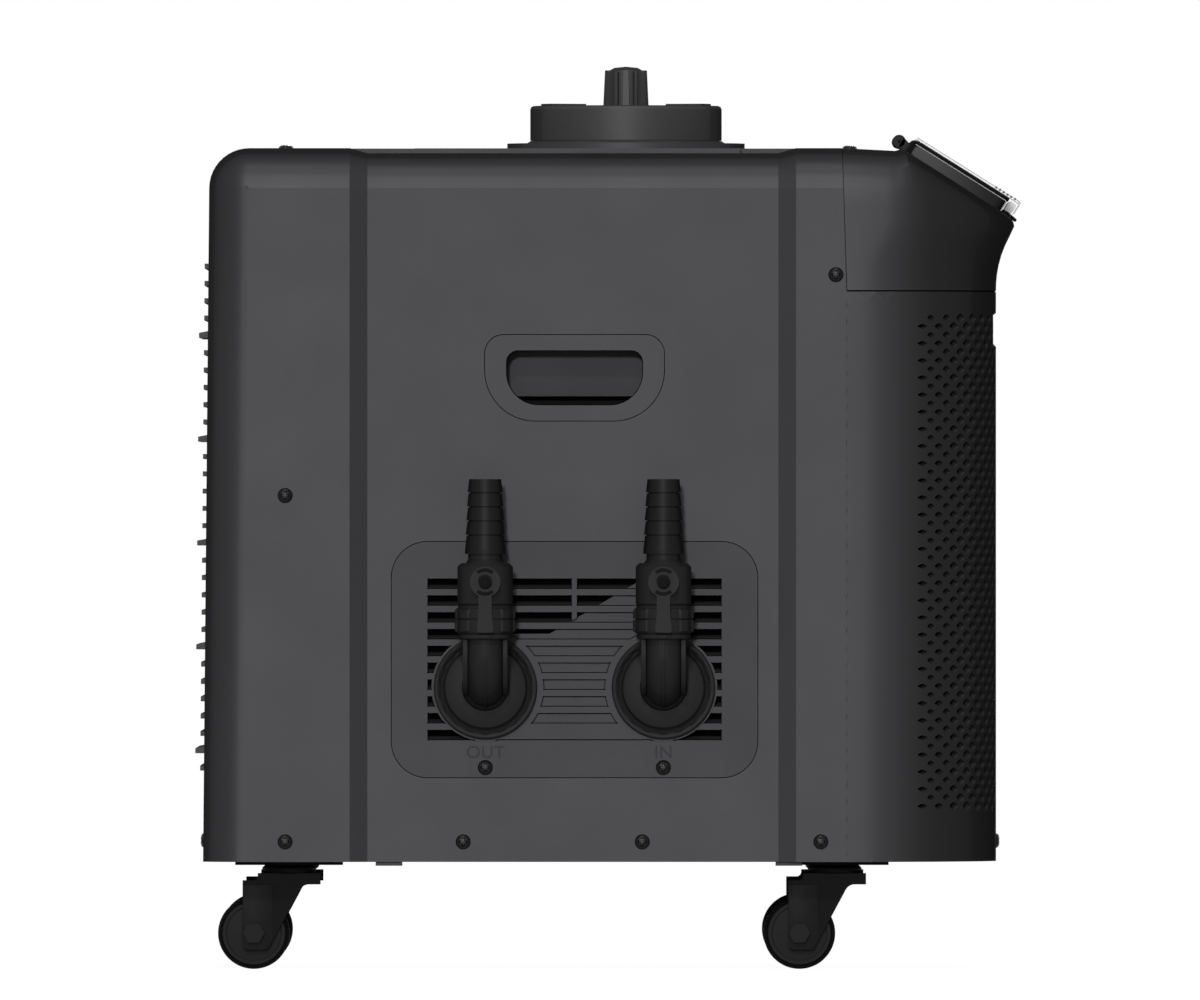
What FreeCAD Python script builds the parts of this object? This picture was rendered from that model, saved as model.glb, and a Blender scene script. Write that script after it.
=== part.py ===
import FreeCAD, Part
import math
import os

from FreeCAD import Vector

# A portable water chiller on four swivel casters, in millimetres.
# The origin is on the floor under the middle of the cabinet.
# +X points at the grille, -Y at the side with the water valves, +Z up.

# Cabinet
cabinet_length = 553.0
cabinet_width = 400.0
cabinet_height = 497.0
ground_clearance = 75.0
shell_wall = 3.0
edge_radius = 28.0
front_corner_radius = 96.0
rear_lean = 4.5
seam_gap = 0.5

# Recessed belt round the middle of the cabinet, and the raised pad on its top
belt_length = 310.8
belt_front_setback = 140.0
belt_ramp = 12.4
belt_depth = 3.5
deck_half_width = 140.0
pad_rear_margin = 45.3
pad_front_margin = 38.8
pad_half_width = 158.0

# Hood over the grille
seam_setback = 105.0
hood_height = 99.5
hood_lean = 3.2
hood_break_setback = 63.0
hood_break_drop = 2.3
hood_slope_deg = 32.1
nose_reach = 12.7
nose_rise = 43.9
hood_edge_radius = 4.0
hood_wall = 3.5
hood_tab_length = 24.0
hood_tab_height = 24.0
hood_tab_overlap = 8.0
hood_lip_reach = 12.0
hood_lip_start = 4.0
hood_slope_blend = 2.2
catch_half_width = 8.0
catch_reach = 3.6

# Front grille
grille_wall = 3.5
grille_notch_depth = 2.1
grille_notch_top_drop = 15.6
grille_notch_height = 23.0
grille_first_angle_deg = 27.0
grille_columns = 11
grille_rows = 11
grille_pattern_drop = 20.0
grille_pattern_rise = 37.0
grille_hole_fill = 0.66

# Rear louvre panel
louvre_half_width = 160.0
louvre_bottom_rise = 54.0
louvre_height = 372.0
louvre_count = 30
louvre_border = 5.0
louvre_thickness = 3.5
louvre_reach = 2.8
louvre_long_reach = 6.3
louvre_long_first = 4
louvre_long_step = 6
louvre_depth = 9.0
panel_flange = 7.0
panel_flange_thickness = 2.4

# Port panel on the valve side
port_panel_rear_margin = 29.3
port_panel_width = 254.6
port_panel_bottom_rise = 58.9
port_panel_height = 163.9
port_panel_radius = 25.0
slot_rows = 10
slot_pitch = 11.7
slot_height = 7.3
slot_throat = 4.4
slot_margin = 24.9
slot_top_drop = 25.5
slot_pocket_depth = 1.2
slot_rib = 3.5
slot_edge_groove = 0.7
blank_top_gap = 19.6
blank_top_drop = 29.0
blank_low_gap = 79.1
blank_low_drop = 64.0
port_boss_radius = 37.5
pocket_boss_gap = 3.0

# Hand holds, one each side
handle_offset = 1.2
handle_width = 124.6
handle_height = 59.7
handle_bottom_rise = 307.1
handle_top_radius = 13.0
handle_bottom_radius = 35.0
handle_rim = 14.6
handle_rim_low = 10.7
handle_hole_top_radius = 8.4
handle_hole_bottom_radius = 23.0
handle_depth = 38.0
handle_step_depth = 28.0
handle_step_rise = 6.4
handle_wall = 2.5
handle_flange = 5.0
handle_flange_thickness = 2.0

# Water ports: two threaded elbows, each with a ball valve and a hose barb
port_rear_margin = 65.2
port_spacing = 123.9
port_rise = 121.5
port_reach = 12.0
disc_radius = 36.0
disc_rim = 5.5
disc_rim_radius = 32.0
disc_groove = 4.2
disc_dish_radius = 30.0
disc_dish = 8.0
disc_hub_radius = 17.0
disc_height = 9.5
elbow_radius = 12.5
water_bore = 9.5
elbow_bend = 24.0
elbow_rise = 9.9
elbow_rib = 2.0
elbow_rib_thickness = 2.4
elbow_cheek_thickness = 5.0
tail_length = 30.0
thread_radius = 15.0
collar_radius = 18.75
collar_height = 3.4
nut_radius = 20.4
nut_height = 20.2
nut_lug = 0.8
nut_lug_width = 6.0
nut_lugs = 6
nut_chamfer = 2.0
valve_radius = 19.3
valve_edge = 2.5
gland_radius = 9.0
gland_reach = 1.5
valve_height = 29.0
valve_neck_radius = 11.8
valve_neck_height = 6.4
ball_radius = 13.0
stem_radius = 4.0
running_clearance = 0.05
loose_clearance = 0.3
barb_height = 52.0
barb_ridges = 5
barb_root_radius = 14.0
barb_tip_radius = 12.2
barb_step = 1.1
barb_groove = 0.7
barb_groove_depth = 0.6
barb_land = 3.0
barb_bore = 8.7
lever_head_radius = 10.6
lever_cap_radius = 4.3
lever_cap_height = 1.5
lever_cap_groove = 0.8
lever_slot_inner = 7.3
lever_slot_outer = 9.4
lever_slot_depth = 2.5
lever_slot_half_deg = 36.0
lever_thickness = 5.0
lever_length = 35.2
lever_arm_half = 4.6
lever_tip_half = 6.0
lever_tip_radius = 1.8
stem_flat = 1.2

# Water filter under a screw-down lid
filter_offset = 37.1
filter_bowl_radius = 62.0
filter_bowl_depth = 196.0
filter_bowl_wall = 4.0
filter_flange_radius = 83.2
filter_flange_height = 4.6
filter_collar_height = 1.8
lid_radius = 67.1
lid_height = 24.3
lid_edge = 2.4
lid_roof = 4.0
lid_skirt = 6.0
lid_skirt_end = 3.0
lid_pad_height = 1.4
lid_pad_inner = 32.0
lid_pad_outer = 59.5
lid_pad_half_deg = 29.4
seal_section = 4.0
cartridge_radius = 37.0
cartridge_core = 14.0
cartridge_cap = 3.0
cartridge_cap_height = 8.0
cartridge_top_drop = 32.0
knob_radius = 17.0
knob_height = 24.6
knob_hub_radius = 11.6
knob_dome = 2.7
knob_taper = 1.0
knob_fins = 6
knob_fin_top_half = 1.7
knob_fin_base_half = 2.3
knob_rib_radius = 13.8
knob_rib_half = 1.1
knob_shaft_radius = 5.0
knob_collar_radius = 9.0
knob_collar_height = 3.0

# Control unit on the slope of the hood, under a clear cover that flips up
display_length = 77.0
display_width = 130.0
display_start = 0.8
display_neck = 2.2
display_height = 9.6
display_corner = 6.0
display_border = 5.0
display_panel_gap = 0.2
display_panel_thickness = 2.4
gasket_height = 1.4
gasket_overhang = 1.2
cover_thickness = 2.1
cover_rim = 2.2
cover_gap = 0.6
cover_corner_radius = 6.0
cover_skirt_start = 4.0
cover_overhang = 8.6
cover_ribs = 6
cover_rib_pitch = 3.1
cover_rib_height = 0.6
cover_rib_width = 1.4
cover_rib_half = 24.0
cover_rib_start = 4.5
hinge_back = 7.9
hinge_rise = 4.7
hinge_radius = 4.6
hinge_pin_radius = 1.2
hinge_pin_end = 0.6
hinge_knuckle = 14.0
hinge_ear_thickness = 3.0
hinge_web = 4.0

# Casters
caster_rear_inset = 59.8
caster_front_inset = 112.9
caster_side_inset = 55.0
caster_plate_length = 74.8
caster_plate_width = 60.0
caster_plate_thickness = 2.3
caster_trail = 24.6
wheel_radius = 25.0
wheel_width = 18.0
wheel_hub_radius = 9.0
wheel_tread = 2.8
wheel_dish = 1.6
race_radius = 18.8
race_height = 6.0
race_lip = 2.2
fork_gap = 0.7
fork_sheet = 2.6
fork_brace_step = 0.8
fork_crown_half = 21.8
fork_crown_drop = 7.7
fork_crown_fillet = 7.0
fork_shoulder_drop = 5.0
fork_shoulder_fillet = 3.4
fork_heel = 7.8
fork_toe_drop = 11.9
fork_toe_fillet = 4.0
fork_leg_width = 22.0
fork_brace_top_x = 9.7
fork_brace_low_x = -14.9
kingpin_radius = 5.0
kingpin_head = 2.5
axle_radius = 4.0
axle_head_across_flats = 13.0
axle_head_height = 5.0

# Works inside the cabinet
pan_floor = 2.5
pan_flange_height = 26.0
pan_wall = 2.0
pan_fit = 0.3
pad_length = 18.6
pad_width = 12.0
pad_height = 2.7
pad_side_inset = 1.2
pad_rear_offset = 69.8
pad_front_offset = 32.1
condenser_depth = 54.5
condenser_half_width = 130.0
condenser_height = 386.0
condenser_end_plate = 3.0
condenser_end_rise = 4.0
condenser_core_rise = 8.0
condenser_fins = 14
condenser_fin_gap = 7.0
condenser_fin_depth = 6.0
condenser_front_gap = 9.5
fan_radius = 114.0
fan_tip_gap = 4.0
fan_hub_radius = 30.0
fan_hub_length = 18.0
fan_blades = 5
fan_rise = 168.0
fan_blade_thickness = 2.0
fan_root_chord = 32.0
fan_root_lean = 13.0
fan_tip_chord = 62.0
fan_tip_lean = 7.0
fan_thrust_gap = 1.0
fan_shroud_depth = 26.0
fan_shroud_sheet = 3.0
fan_cradle = 4.0
fan_cradle_length = 8.0
fan_arm_width = 10.0
fan_shaft_radius = 4.0
motor_radius = 36.0
motor_length = 48.0
compressor_offset = 115.0
compressor_y = 60.0
compressor_radius = 58.0
compressor_height = 205.0
compressor_seam_rise = 90.0
compressor_seam = 3.0
compressor_foot_length = 124.0
compressor_foot_width = 60.0
compressor_foot_height = 6.0
bolt_across = 104.0
bolt_along = 44.0
bolt_hole_radius = 4.0
grommet_radius = 8.0
grommet_neck_radius = 3.8
grommet_height = 10.0
exchanger_inset = 91.5
exchanger_y = -90.0
exchanger_radius = 55.0
exchanger_height = 262.0
exchanger_rim = 4.0
exchanger_rim_height = 26.0
exchanger_port_length = 12.0
return_rise = 44.0
pump_offset = 70.0
pump_radius = 34.0
pump_length = 96.0
pump_rise = 42.5
pump_volute_length = 24.0
pump_volute_rim = 6.0
pump_spout = 14.0
pump_foot_half = 26.0
water_pipe_radius = 13.0
pipe_socket = 2.0
bowl_inlet_y = -30.0
bowl_outlet_offset = 20.2
copper_radius = 4.8
copper_loop_rise = 34.0
copper_over_rise = 24.0
copper_riser_gap = 89.0
discharge_drop = 60.0
drier_radius = 12.0
drier_length = 60.0
drier_y = -162.0
drier_rise = 62.0
drier_cone = 9.0
electrics_depth = 42.0
electrics_length = 150.0
electrics_height = 112.0
electrics_rise = 175.0
electrics_offset = 33.9
inlet_margin = 46.4
inlet_rise = 79.0
inlet_width = 28.0
inlet_height = 20.0
inlet_corner = 3.0
inlet_flange = 5.0
inlet_flange_thickness = 1.8
inlet_wall = 1.8
inlet_depth = 24.0
inlet_socket_depth = 18.0
inlet_pin_spread = 7.0
inlet_pin_width = 2.0
inlet_pin_height = 4.0
inlet_pin_length = 17.0

# Fasteners
screw_head_radius = 5.2
screw_head_height = 2.6
screw_shank_radius = 2.0
screw_row_rise = 14.0
screw_bite = 2.2
screw_head_taper = 0.72
screw_rear_share = 0.396
screw_front_setback = 17.8
screw_belt_margins = (79.1, 107.1)
screw_middle_rise = 255.0
screw_top_y = 120.0
screw_end_y = 80.0
screw_long_grip = 9.0
hood_screw_grip = 7.0
hood_screw_setback = 2.5
tab_screw_setback = 7.3
tab_screw_rise = 11.2
port_screw_rise = 6.8

half_length = cabinet_length / 2
half_width = cabinet_width / 2
top_z = ground_clearance + cabinet_height
hood_line_z = top_z - hood_height
belt_y = half_width - belt_depth
lean_angle = math.degrees(math.atan2(rear_lean, cabinet_height))

belt_front_x = half_length - belt_front_setback
belt_rear_x = belt_front_x - belt_length
belt_middle_x = (belt_rear_x + belt_front_x) / 2
pad_rear_x = belt_rear_x + pad_rear_margin
pad_front_x = belt_front_x - pad_front_margin
seam_x = half_length - seam_setback
hood_break_x = half_length - hood_break_setback
port_panel_rear_x = belt_rear_x + port_panel_rear_margin
port_x = (port_panel_rear_x + port_rear_margin, port_panel_rear_x + port_rear_margin + port_spacing)
handle_x = belt_middle_x + handle_offset
filter_x = belt_middle_x + filter_offset
caster_x = (-half_length + caster_rear_inset, half_length - caster_front_inset)
caster_y = half_width - caster_side_inset
exchanger_x = -half_length + exchanger_inset
compressor_x = exchanger_x + compressor_offset
pump_x = pump_offset
inlet_x = belt_rear_x + inlet_margin
inlet_z = ground_clearance + inlet_rise
screw_rear_x = -half_length + edge_radius + (belt_rear_x + half_length - edge_radius) * screw_rear_share

up = Vector(0, 0, 1)
along_x = Vector(1, 0, 0)
along_y = Vector(0, 1, 0)


def box(x0, x1, y0, y1, z0, z1):
    return Part.makeBox(x1 - x0, y1 - y0, z1 - z0, Vector(x0, y0, z0))


def rod(start, end, radius):
    run = end - start
    return Part.makeCylinder(radius, run.Length, start, run)


def fused(shapes):
    whole = shapes[0].multiFuse(shapes[1:])
    return whole.removeSplitter()


def rounded_wire(points, radii):
    # A closed outline with each corner rounded by its own radius, or sharp where that is 0.
    count = len(points)
    corners = []
    for index in range(count):
        here = points[index]
        back = (points[index - 1] - here).normalize()
        ahead = (points[(index + 1) % count] - here).normalize()
        if radii[index] <= 0:
            corners.append((here, None, here))
            continue
        half = back.getAngle(ahead) / 2
        reach = radii[index] / math.tan(half)
        inward = (back + ahead).normalize()
        middle = here + inward * (radii[index] / math.sin(half) - radii[index])
        corners.append((here + back * reach, middle, here + ahead * reach))
    edges = []
    for index in range(count):
        start, middle, end = corners[index]
        if middle is not None:
            edges.append(Part.Arc(start, middle, end).toShape())
        following = corners[(index + 1) % count][0]
        if (following - end).Length > 1e-6:
            edges.append(Part.LineSegment(end, following).toShape())
    return Part.Wire(edges)


def side_plate(x0, x1, z0, z1, top_radius, bottom_radius, y0, y1):
    # A plate with rounded corners that stands upright along the cabinet's side.
    points = [Vector(x0, y0, z0), Vector(x1, y0, z0), Vector(x1, y0, z1), Vector(x0, y0, z1)]
    wire = rounded_wire(points, [bottom_radius, bottom_radius, top_radius, top_radius])
    return Part.Face(wire).extrude(Vector(0, y1 - y0, 0))


def side_profile(points, y0, y1, radii=None):
    # An outline in the XZ plane, with sharp or rounded corners, pushed along Y.
    corners = [Vector(x, y0, z) for x, z in points]
    wire = rounded_wire(corners, radii or [0] * len(corners))
    return Part.Face(wire).extrude(Vector(0, y1 - y0, 0))


def turned(points, base, axis=up):
    # A turned piece: (radius, height) corners revolved about an axis through base.
    corners = [Vector(radius, 0, height) for radius, height in points]
    face = Part.Face(Part.makePolygon(corners + corners[:1]))
    solid = face.revolve(Vector(0, 0, 0), up, 360)
    solid.Placement = FreeCAD.Placement(base, FreeCAD.Rotation(up, axis))
    return solid


def mirrored(shape):
    return shape.mirror(Vector(0, 0, 0), along_y)


def leaned(shape):
    # From an upright rear wall to the real one, which leans in towards the top.
    turned_shape = shape.copy()
    turned_shape.rotate(Vector(-half_length, 0, ground_clearance), along_y, lean_angle)
    return turned_shape


def hex_prism(centre, axis, across_flats, height):
    corner_radius = across_flats / math.sqrt(3)
    corners = []
    for index in range(7):
        angle = math.radians(60 * index)
        corners.append(Vector(corner_radius * math.cos(angle), corner_radius * math.sin(angle), 0))
    prism = Part.Face(Part.makePolygon(corners)).extrude(up * height)
    prism.Placement = FreeCAD.Placement(centre, FreeCAD.Rotation(up, axis))
    return prism


def save(node, shape):
    shape.exportStep("parts/" + node + ".step")


# Cabinet shell: top, both sides and the rear corners in one moulding

def arch_wire(x, inset, bottom):
    half = half_width - inset
    top = top_z - inset
    radius = edge_radius - inset
    points = [Vector(x, -half, bottom), Vector(x, -half, top), Vector(x, half, top), Vector(x, half, bottom)]
    return rounded_wire(points, [0, radius, radius, 0])


def arch_block(x0, inset0, x1, inset1, bottom):
    return Part.makeLoft([arch_wire(x0, inset0, bottom), arch_wire(x1, inset1, bottom)], True, True)


def rear_block(inset, bottom):
    half = half_width - inset
    top = top_z - inset
    foot_x = -half_length + inset + rear_lean * (bottom - ground_clearance) / cabinet_height
    top_x = -half_length + inset + rear_lean * (top - ground_clearance) / cabinet_height
    points = [(foot_x, bottom), (belt_rear_x, bottom), (belt_rear_x, top), (top_x, top)]
    block = side_profile(points, -half, half)
    edges = []
    for edge in block.Edges:
        middle = edge.CenterOfMass
        if middle.x < belt_rear_x - 1 and middle.z > bottom + 1 and abs(middle.y) > half - 1:
            edges.append(edge)
        elif middle.x < belt_rear_x - 1 and middle.z > top - 1:
            edges.append(edge)
    return block.makeFillet(edge_radius - inset, edges)


def cabinet_form(inset, bottom, front_x):
    sunk = inset + belt_depth
    deck = box(belt_rear_x + inset, belt_front_x - inset,
               -deck_half_width + inset, deck_half_width - inset,
               top_z - edge_radius, top_z - inset)
    pad = box(pad_rear_x + inset, pad_front_x - inset,
              -pad_half_width + inset, pad_half_width - inset,
              top_z - edge_radius, top_z - inset)
    return fused([
        rear_block(inset, bottom),
        arch_block(belt_rear_x, inset, belt_rear_x + belt_ramp, sunk, bottom),
        arch_block(belt_rear_x + belt_ramp, sunk, belt_front_x - belt_ramp, sunk, bottom),
        arch_block(belt_front_x - belt_ramp, sunk, belt_front_x, inset, bottom),
        arch_block(belt_front_x, inset, front_x, inset, bottom),
        deck,
        pad,
    ])


def handle_plate(grow, y0, y1):
    return side_plate(handle_x - handle_width / 2 - grow, handle_x + handle_width / 2 + grow,
                      ground_clearance + handle_bottom_rise - grow,
                      ground_clearance + handle_bottom_rise + handle_height + grow,
                      handle_top_radius + grow, handle_bottom_radius + grow, y0, y1)


def port_plate(grow, y0, y1):
    return side_plate(port_panel_rear_x - grow, port_panel_rear_x + port_panel_width + grow,
                      ground_clearance + port_panel_bottom_rise - grow,
                      ground_clearance + port_panel_bottom_rise + port_panel_height + grow,
                      port_panel_radius + grow, port_panel_radius + grow, y0, y1)


def louvre_field(grow, x0, x1):
    bottom = ground_clearance + louvre_bottom_rise
    return box(-half_length + x0, -half_length + x1, -louvre_half_width - grow, louvre_half_width + grow,
               bottom - grow, bottom + louvre_height + grow)


# Screws: each is (place on the outer face, outward direction, grip length)

def screw_places():
    row_z = ground_clearance + screw_row_rise
    flange_grip = half_width - half_pan_width() + screw_bite
    belt_grip = belt_y - half_pan_width() + screw_bite
    lean = math.radians(lean_angle)
    rear_out = Vector(-math.cos(lean), 0, math.sin(lean))
    rear_x = -half_length + rear_lean * screw_row_rise / cabinet_height
    hood_out = Vector(hood_break_drop, 0, hood_break_x - seam_x + hood_lean).normalize()
    hood_screw_x = seam_x + hood_screw_setback
    middle_z = ground_clearance + screw_middle_rise
    tab_z = hood_line_z + tab_screw_rise
    end_grip = pan_fit + screw_bite
    places = []
    for side in (-1, 1):
        out = Vector(0, side, 0)
        wall = side * half_width
        for x in (screw_rear_x, seam_x - screw_front_setback):
            places.append((Vector(x, wall, row_z), out, flange_grip))
        for x in (belt_rear_x + screw_belt_margins[0], belt_front_x - screw_belt_margins[1]):
            places.append((Vector(x, side * belt_y, row_z), out, belt_grip))
        places.append((Vector(screw_rear_x, wall, middle_z), out, screw_long_grip))
        places.append((Vector(seam_x - tab_screw_setback, wall, tab_z), out, 2 * shell_wall))
        places.append((Vector(screw_rear_x, side * screw_top_y, top_z), up, screw_long_grip))
        hood_place = Vector(hood_screw_x, side * screw_top_y, hood_top_z(hood_screw_x))
        places.append((hood_place, hood_out, hood_screw_grip))
        places.append((Vector(half_length, side * screw_end_y, row_z), along_x, grille_wall + end_grip))
        places.append((Vector(rear_x, side * screw_end_y, row_z), rear_out, shell_wall + end_grip))
    port_screw_z = ground_clearance + port_panel_bottom_rise + port_screw_rise
    for x in port_x:
        places.append((Vector(x, -belt_y, port_screw_z), -along_y, shell_wall + panel_flange_thickness))
    return places


def half_pan_width():
    return belt_y - shell_wall - pan_fit


def hood_top_z(x):
    share = (x - (seam_x - hood_lean)) / (hood_break_x - (seam_x - hood_lean))
    return top_z - hood_break_drop * share


def screw(place, out, grip):
    tip_radius = screw_head_radius * screw_head_taper
    head = Part.makeCone(screw_head_radius, tip_radius, screw_head_height, place, out)
    shank = rod(place, place - out * grip, screw_shank_radius)
    return head.fuse(shank)


def screw_holes():
    holes = []
    for place, out, grip in screw_places():
        holes.append(rod(place + out * 2, place - out * (grip + 2), screw_shank_radius + running_clearance))
    return Part.makeCompound(holes)


def hood_joint_wedge():
    # Everything ahead of the parting line between shell and hood, and of the grille's rear edge.
    deep = half_width + 10
    return side_profile([(seam_x - hood_lean, top_z + 5), (seam_x, hood_line_z), (seam_x, 0),
                         (seam_x + 60, 0), (seam_x + 60, top_z + 5)], -deep, deep)


def cabinet_shell():
    outer = cabinet_form(0, ground_clearance, seam_x)
    inner = cabinet_form(shell_wall, ground_clearance - 20, seam_x + 20)
    shell = outer.cut(inner).cut(hood_joint_wedge())
    lip_top = hood_top_z(seam_x + hood_lip_reach) - hood_wall - 0.1
    lip_start = belt_front_x + hood_lip_start
    lip = box(lip_start, seam_x + hood_lip_reach, -deck_half_width, deck_half_width,
              lip_top - shell_wall, lip_top)
    step = box(lip_start, seam_x - hood_lean - 2, -deck_half_width, deck_half_width,
               lip_top - shell_wall, top_z - shell_wall / 2)
    shell = shell.fuse([lip, step])
    openings = [
        leaned(louvre_field(seam_gap, -10, shell_wall + 20)),
        port_plate(seam_gap, -half_width - 5, -half_width + 20),
        handle_plate(seam_gap, -half_width - 5, -half_width + 20),
        mirrored(handle_plate(seam_gap, -half_width - 5, -half_width + 20)),
        rod(Vector(filter_x, 0, top_z - 30), Vector(filter_x, 0, top_z + 5), filter_bowl_radius + loose_clearance),
        inlet_opening(loose_clearance, belt_y - 10, belt_y + 5),
        screw_holes(),
    ]
    return shell.cut(openings).removeSplitter()


# Hood: the moulding over the grille that carries the control unit

def front_outline(z, inset, reach, rear_x):
    half = half_width - inset
    radius = front_corner_radius - inset
    front = half_length + reach - inset
    points = [Vector(rear_x, -half, z), Vector(front, -half, z), Vector(front, half, z), Vector(rear_x, half, z)]
    return rounded_wire(points, [0, radius, radius, 0])


def hood_slope_end(inset):
    # Where the slope meets the nose, in the XZ plane.
    tangent = math.tan(math.radians(hood_slope_deg))
    x = half_length + nose_reach - hood_slope_blend - inset
    z = top_z - hood_break_drop - (x - hood_break_x) * tangent - inset / math.cos(math.radians(hood_slope_deg))
    return x, z


def hood_form(inset):
    rear_x = seam_x - hood_lean - 10
    heights = [0.0, 0.25, 0.5, 0.75, 1.0]
    flare = []
    for share in heights:
        z = hood_line_z + nose_rise * share
        flare.append(front_outline(z, inset, nose_reach * share ** 2.2, rear_x))
    body = Part.makeLoft(flare, True, False)
    upper_face = Part.Face(front_outline(hood_line_z + nose_rise, inset, nose_reach, rear_x))
    upper = upper_face.extrude(up * hood_height)
    slope_x, slope_z = hood_slope_end(inset)
    side = side_profile([
        (rear_x - 1, hood_line_z - 1), (half_length + 40, hood_line_z - 1),
        (half_length + nose_reach + 5, hood_line_z + nose_rise),
        (half_length + nose_reach - inset, hood_line_z + nose_rise),
        (slope_x, slope_z),
        (hood_break_x - inset * 0.3, top_z - hood_break_drop - inset),
        (seam_x - hood_lean, top_z - inset),
        (rear_x - 1, top_z - inset),
    ], -half_width - 5, half_width + 5)
    return body.fuse(upper).common(side).removeSplitter()


def round_hood_rim(form):
    # Rounds the edge between the top or slope and the sides.
    slope_x, slope_z = hood_slope_end(0)
    rim = []
    for edge in form.Edges:
        middle = edge.CenterOfMass
        on_top = middle.z > slope_z + 2 and middle.x > seam_x - hood_lean - 9
        if on_top and abs(middle.y) > half_width - front_corner_radius + 2:
            rim.append(edge)
    return form.makeFillet(hood_edge_radius, rim)


def hood_rear_cut():
    # Everything behind the parting line, with the visible gap.
    deep = half_width + 10
    return side_profile([(seam_x - hood_lean + seam_gap, top_z + 5), (seam_x + seam_gap, hood_line_z - 15),
                         (seam_x - 60, hood_line_z - 15), (seam_x - 60, top_z + 5)], -deep, deep)


def hood():
    outer = round_hood_rim(hood_form(0))
    mouth = Part.Face(front_outline(hood_line_z - 10, hood_wall, 0, seam_x - hood_lean - 10))
    inner = hood_form(hood_wall).fuse(mouth.extrude(up * 10))
    shape = outer.cut(inner).cut(hood_rear_cut())
    tabs = []
    for side in (-1, 1):
        outside = side * (half_width - shell_wall - 0.05)
        inside = side * (half_width - 2 * shell_wall)
        low, high = sorted((outside, inside))
        tab_low = hood_line_z + 2
        tab_high = tab_low + hood_tab_height
        tabs.append(box(seam_x - hood_tab_length, seam_x + hood_tab_overlap, low, high, tab_low, tab_high))
        low, high = sorted((outside, side * (half_width - hood_wall / 8)))
        tabs.append(box(seam_x + 3 * seam_gap, seam_x + hood_tab_overlap, low, high, tab_low, tab_high))
    slope_x, slope_z = hood_slope_end(0)
    catch = side_profile([(slope_x - 2, slope_z - 3), (slope_x + catch_reach, slope_z - 4.2),
                          (slope_x + catch_reach, slope_z - 1), (slope_x + 1, slope_z + 1.4),
                          (slope_x - 2, slope_z + 1)], -catch_half_width, catch_half_width)
    shape = shape.fuse(tabs).fuse(catch)
    return shape.cut(screw_holes()).removeSplitter()


# Front grille: a perforated wall that wraps round both front corners

def outline_point(inset, travel):
    # A point and outward direction on the plan outline, by distance from the start of the corner.
    corner = front_corner_radius * math.pi / 2
    flat = cabinet_width - 2 * front_corner_radius
    radius = front_corner_radius - inset
    centre_x = half_length - front_corner_radius
    centre_y = half_width - front_corner_radius
    if travel <= corner:
        angle = travel / front_corner_radius
        out = Vector(math.sin(angle), -math.cos(angle), 0)
        return Vector(centre_x, -centre_y, 0) + out * radius, out
    if travel <= corner + flat:
        return Vector(half_length - inset, -centre_y + travel - corner, 0), Vector(1, 0, 0)
    angle = (travel - corner - flat) / front_corner_radius
    out = Vector(math.cos(angle), math.sin(angle), 0)
    return Vector(centre_x, centre_y, 0) + out * radius, out


def grille_hole(travel, z, half_w, half_h):
    middle, out = outline_point(0, travel)
    across = Vector(-out.y, out.x, 0)
    base = Vector(middle.x, middle.y, z) - out * (grille_wall + 3)
    corners = [base - across * half_w, base - up * half_h, base + across * half_w, base + up * half_h]
    face = Part.Face(Part.makePolygon(corners + corners[:1]))
    return face.extrude(out * (grille_wall + 6))


def front_grille():
    top = hood_line_z - seam_gap
    outer = Part.Face(front_outline(ground_clearance, 0, 0, seam_x)).extrude(up * (top - ground_clearance))
    inner = Part.Face(front_outline(ground_clearance - 5, grille_wall, 0, seam_x - 5))
    inner = inner.extrude(up * (top - ground_clearance + 10))
    wall = outer.cut(inner)
    notch_top = top - grille_notch_top_drop
    notch = box(half_length - grille_notch_depth, half_length + 5, -half_width, half_width,
                notch_top - grille_notch_height, notch_top)
    wall = wall.cut(notch)
    first = math.radians(grille_first_angle_deg) * front_corner_radius
    corner = front_corner_radius * math.pi / 2
    last = 2 * corner + cabinet_width - 2 * front_corner_radius - first
    pitch = (last - first) / (grille_columns - 0.5)
    row_pitch = (top - grille_pattern_drop - ground_clearance - grille_pattern_rise) / grille_rows
    holes = []
    for row in range(grille_rows):
        z = top - grille_pattern_drop - row_pitch * (row + 0.5)
        shift = 0.25 * pitch if row % 2 == 0 else 0.75 * pitch
        for column in range(grille_columns - row % 2):
            travel = first + shift + pitch * column
            holes.append(grille_hole(travel, z, pitch * grille_hole_fill / 2, row_pitch * grille_hole_fill))
    wall = wall.cut(Part.makeCompound(holes))
    return wall.cut(screw_holes()).removeSplitter()


# Rear louvre panel: a frame that carries the slats

def rear_louvre_panel():
    face = louvre_field(0, 0, shell_wall)
    flange = louvre_field(panel_flange, shell_wall, shell_wall + panel_flange_thickness)
    window = louvre_field(-louvre_border, -5, 30)
    frame = face.fuse(flange).cut(window)
    inner_bottom = ground_clearance + louvre_bottom_rise + louvre_border
    pitch = (louvre_height - 2 * louvre_border) / louvre_count
    slats = []
    for index in range(louvre_count):
        z = inner_bottom + pitch * (index + 0.5) - louvre_thickness / 2
        from_top = louvre_count - 1 - index
        is_long = from_top >= louvre_long_first and (from_top - louvre_long_first) % louvre_long_step == 0
        reach = louvre_long_reach if is_long else louvre_reach
        root = louvre_thickness * 1.35 if is_long else louvre_thickness
        half = louvre_half_width - louvre_border
        rear = -half_length
        slats.append(side_profile([(rear - reach, z), (rear + louvre_depth, z),
                                   (rear + louvre_depth, z + louvre_thickness),
                                   (rear, z + root), (rear - reach, z + louvre_thickness)], -half, half))
    for y in (-louvre_half_width / 3, louvre_half_width / 3):
        slats.append(box(-half_length + shell_wall, -half_length + louvre_depth + 2, y - 2, y + 2,
                         inner_bottom - louvre_border, inner_bottom - louvre_border + louvre_height))
    return leaned(frame.fuse(slats).removeSplitter())


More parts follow.
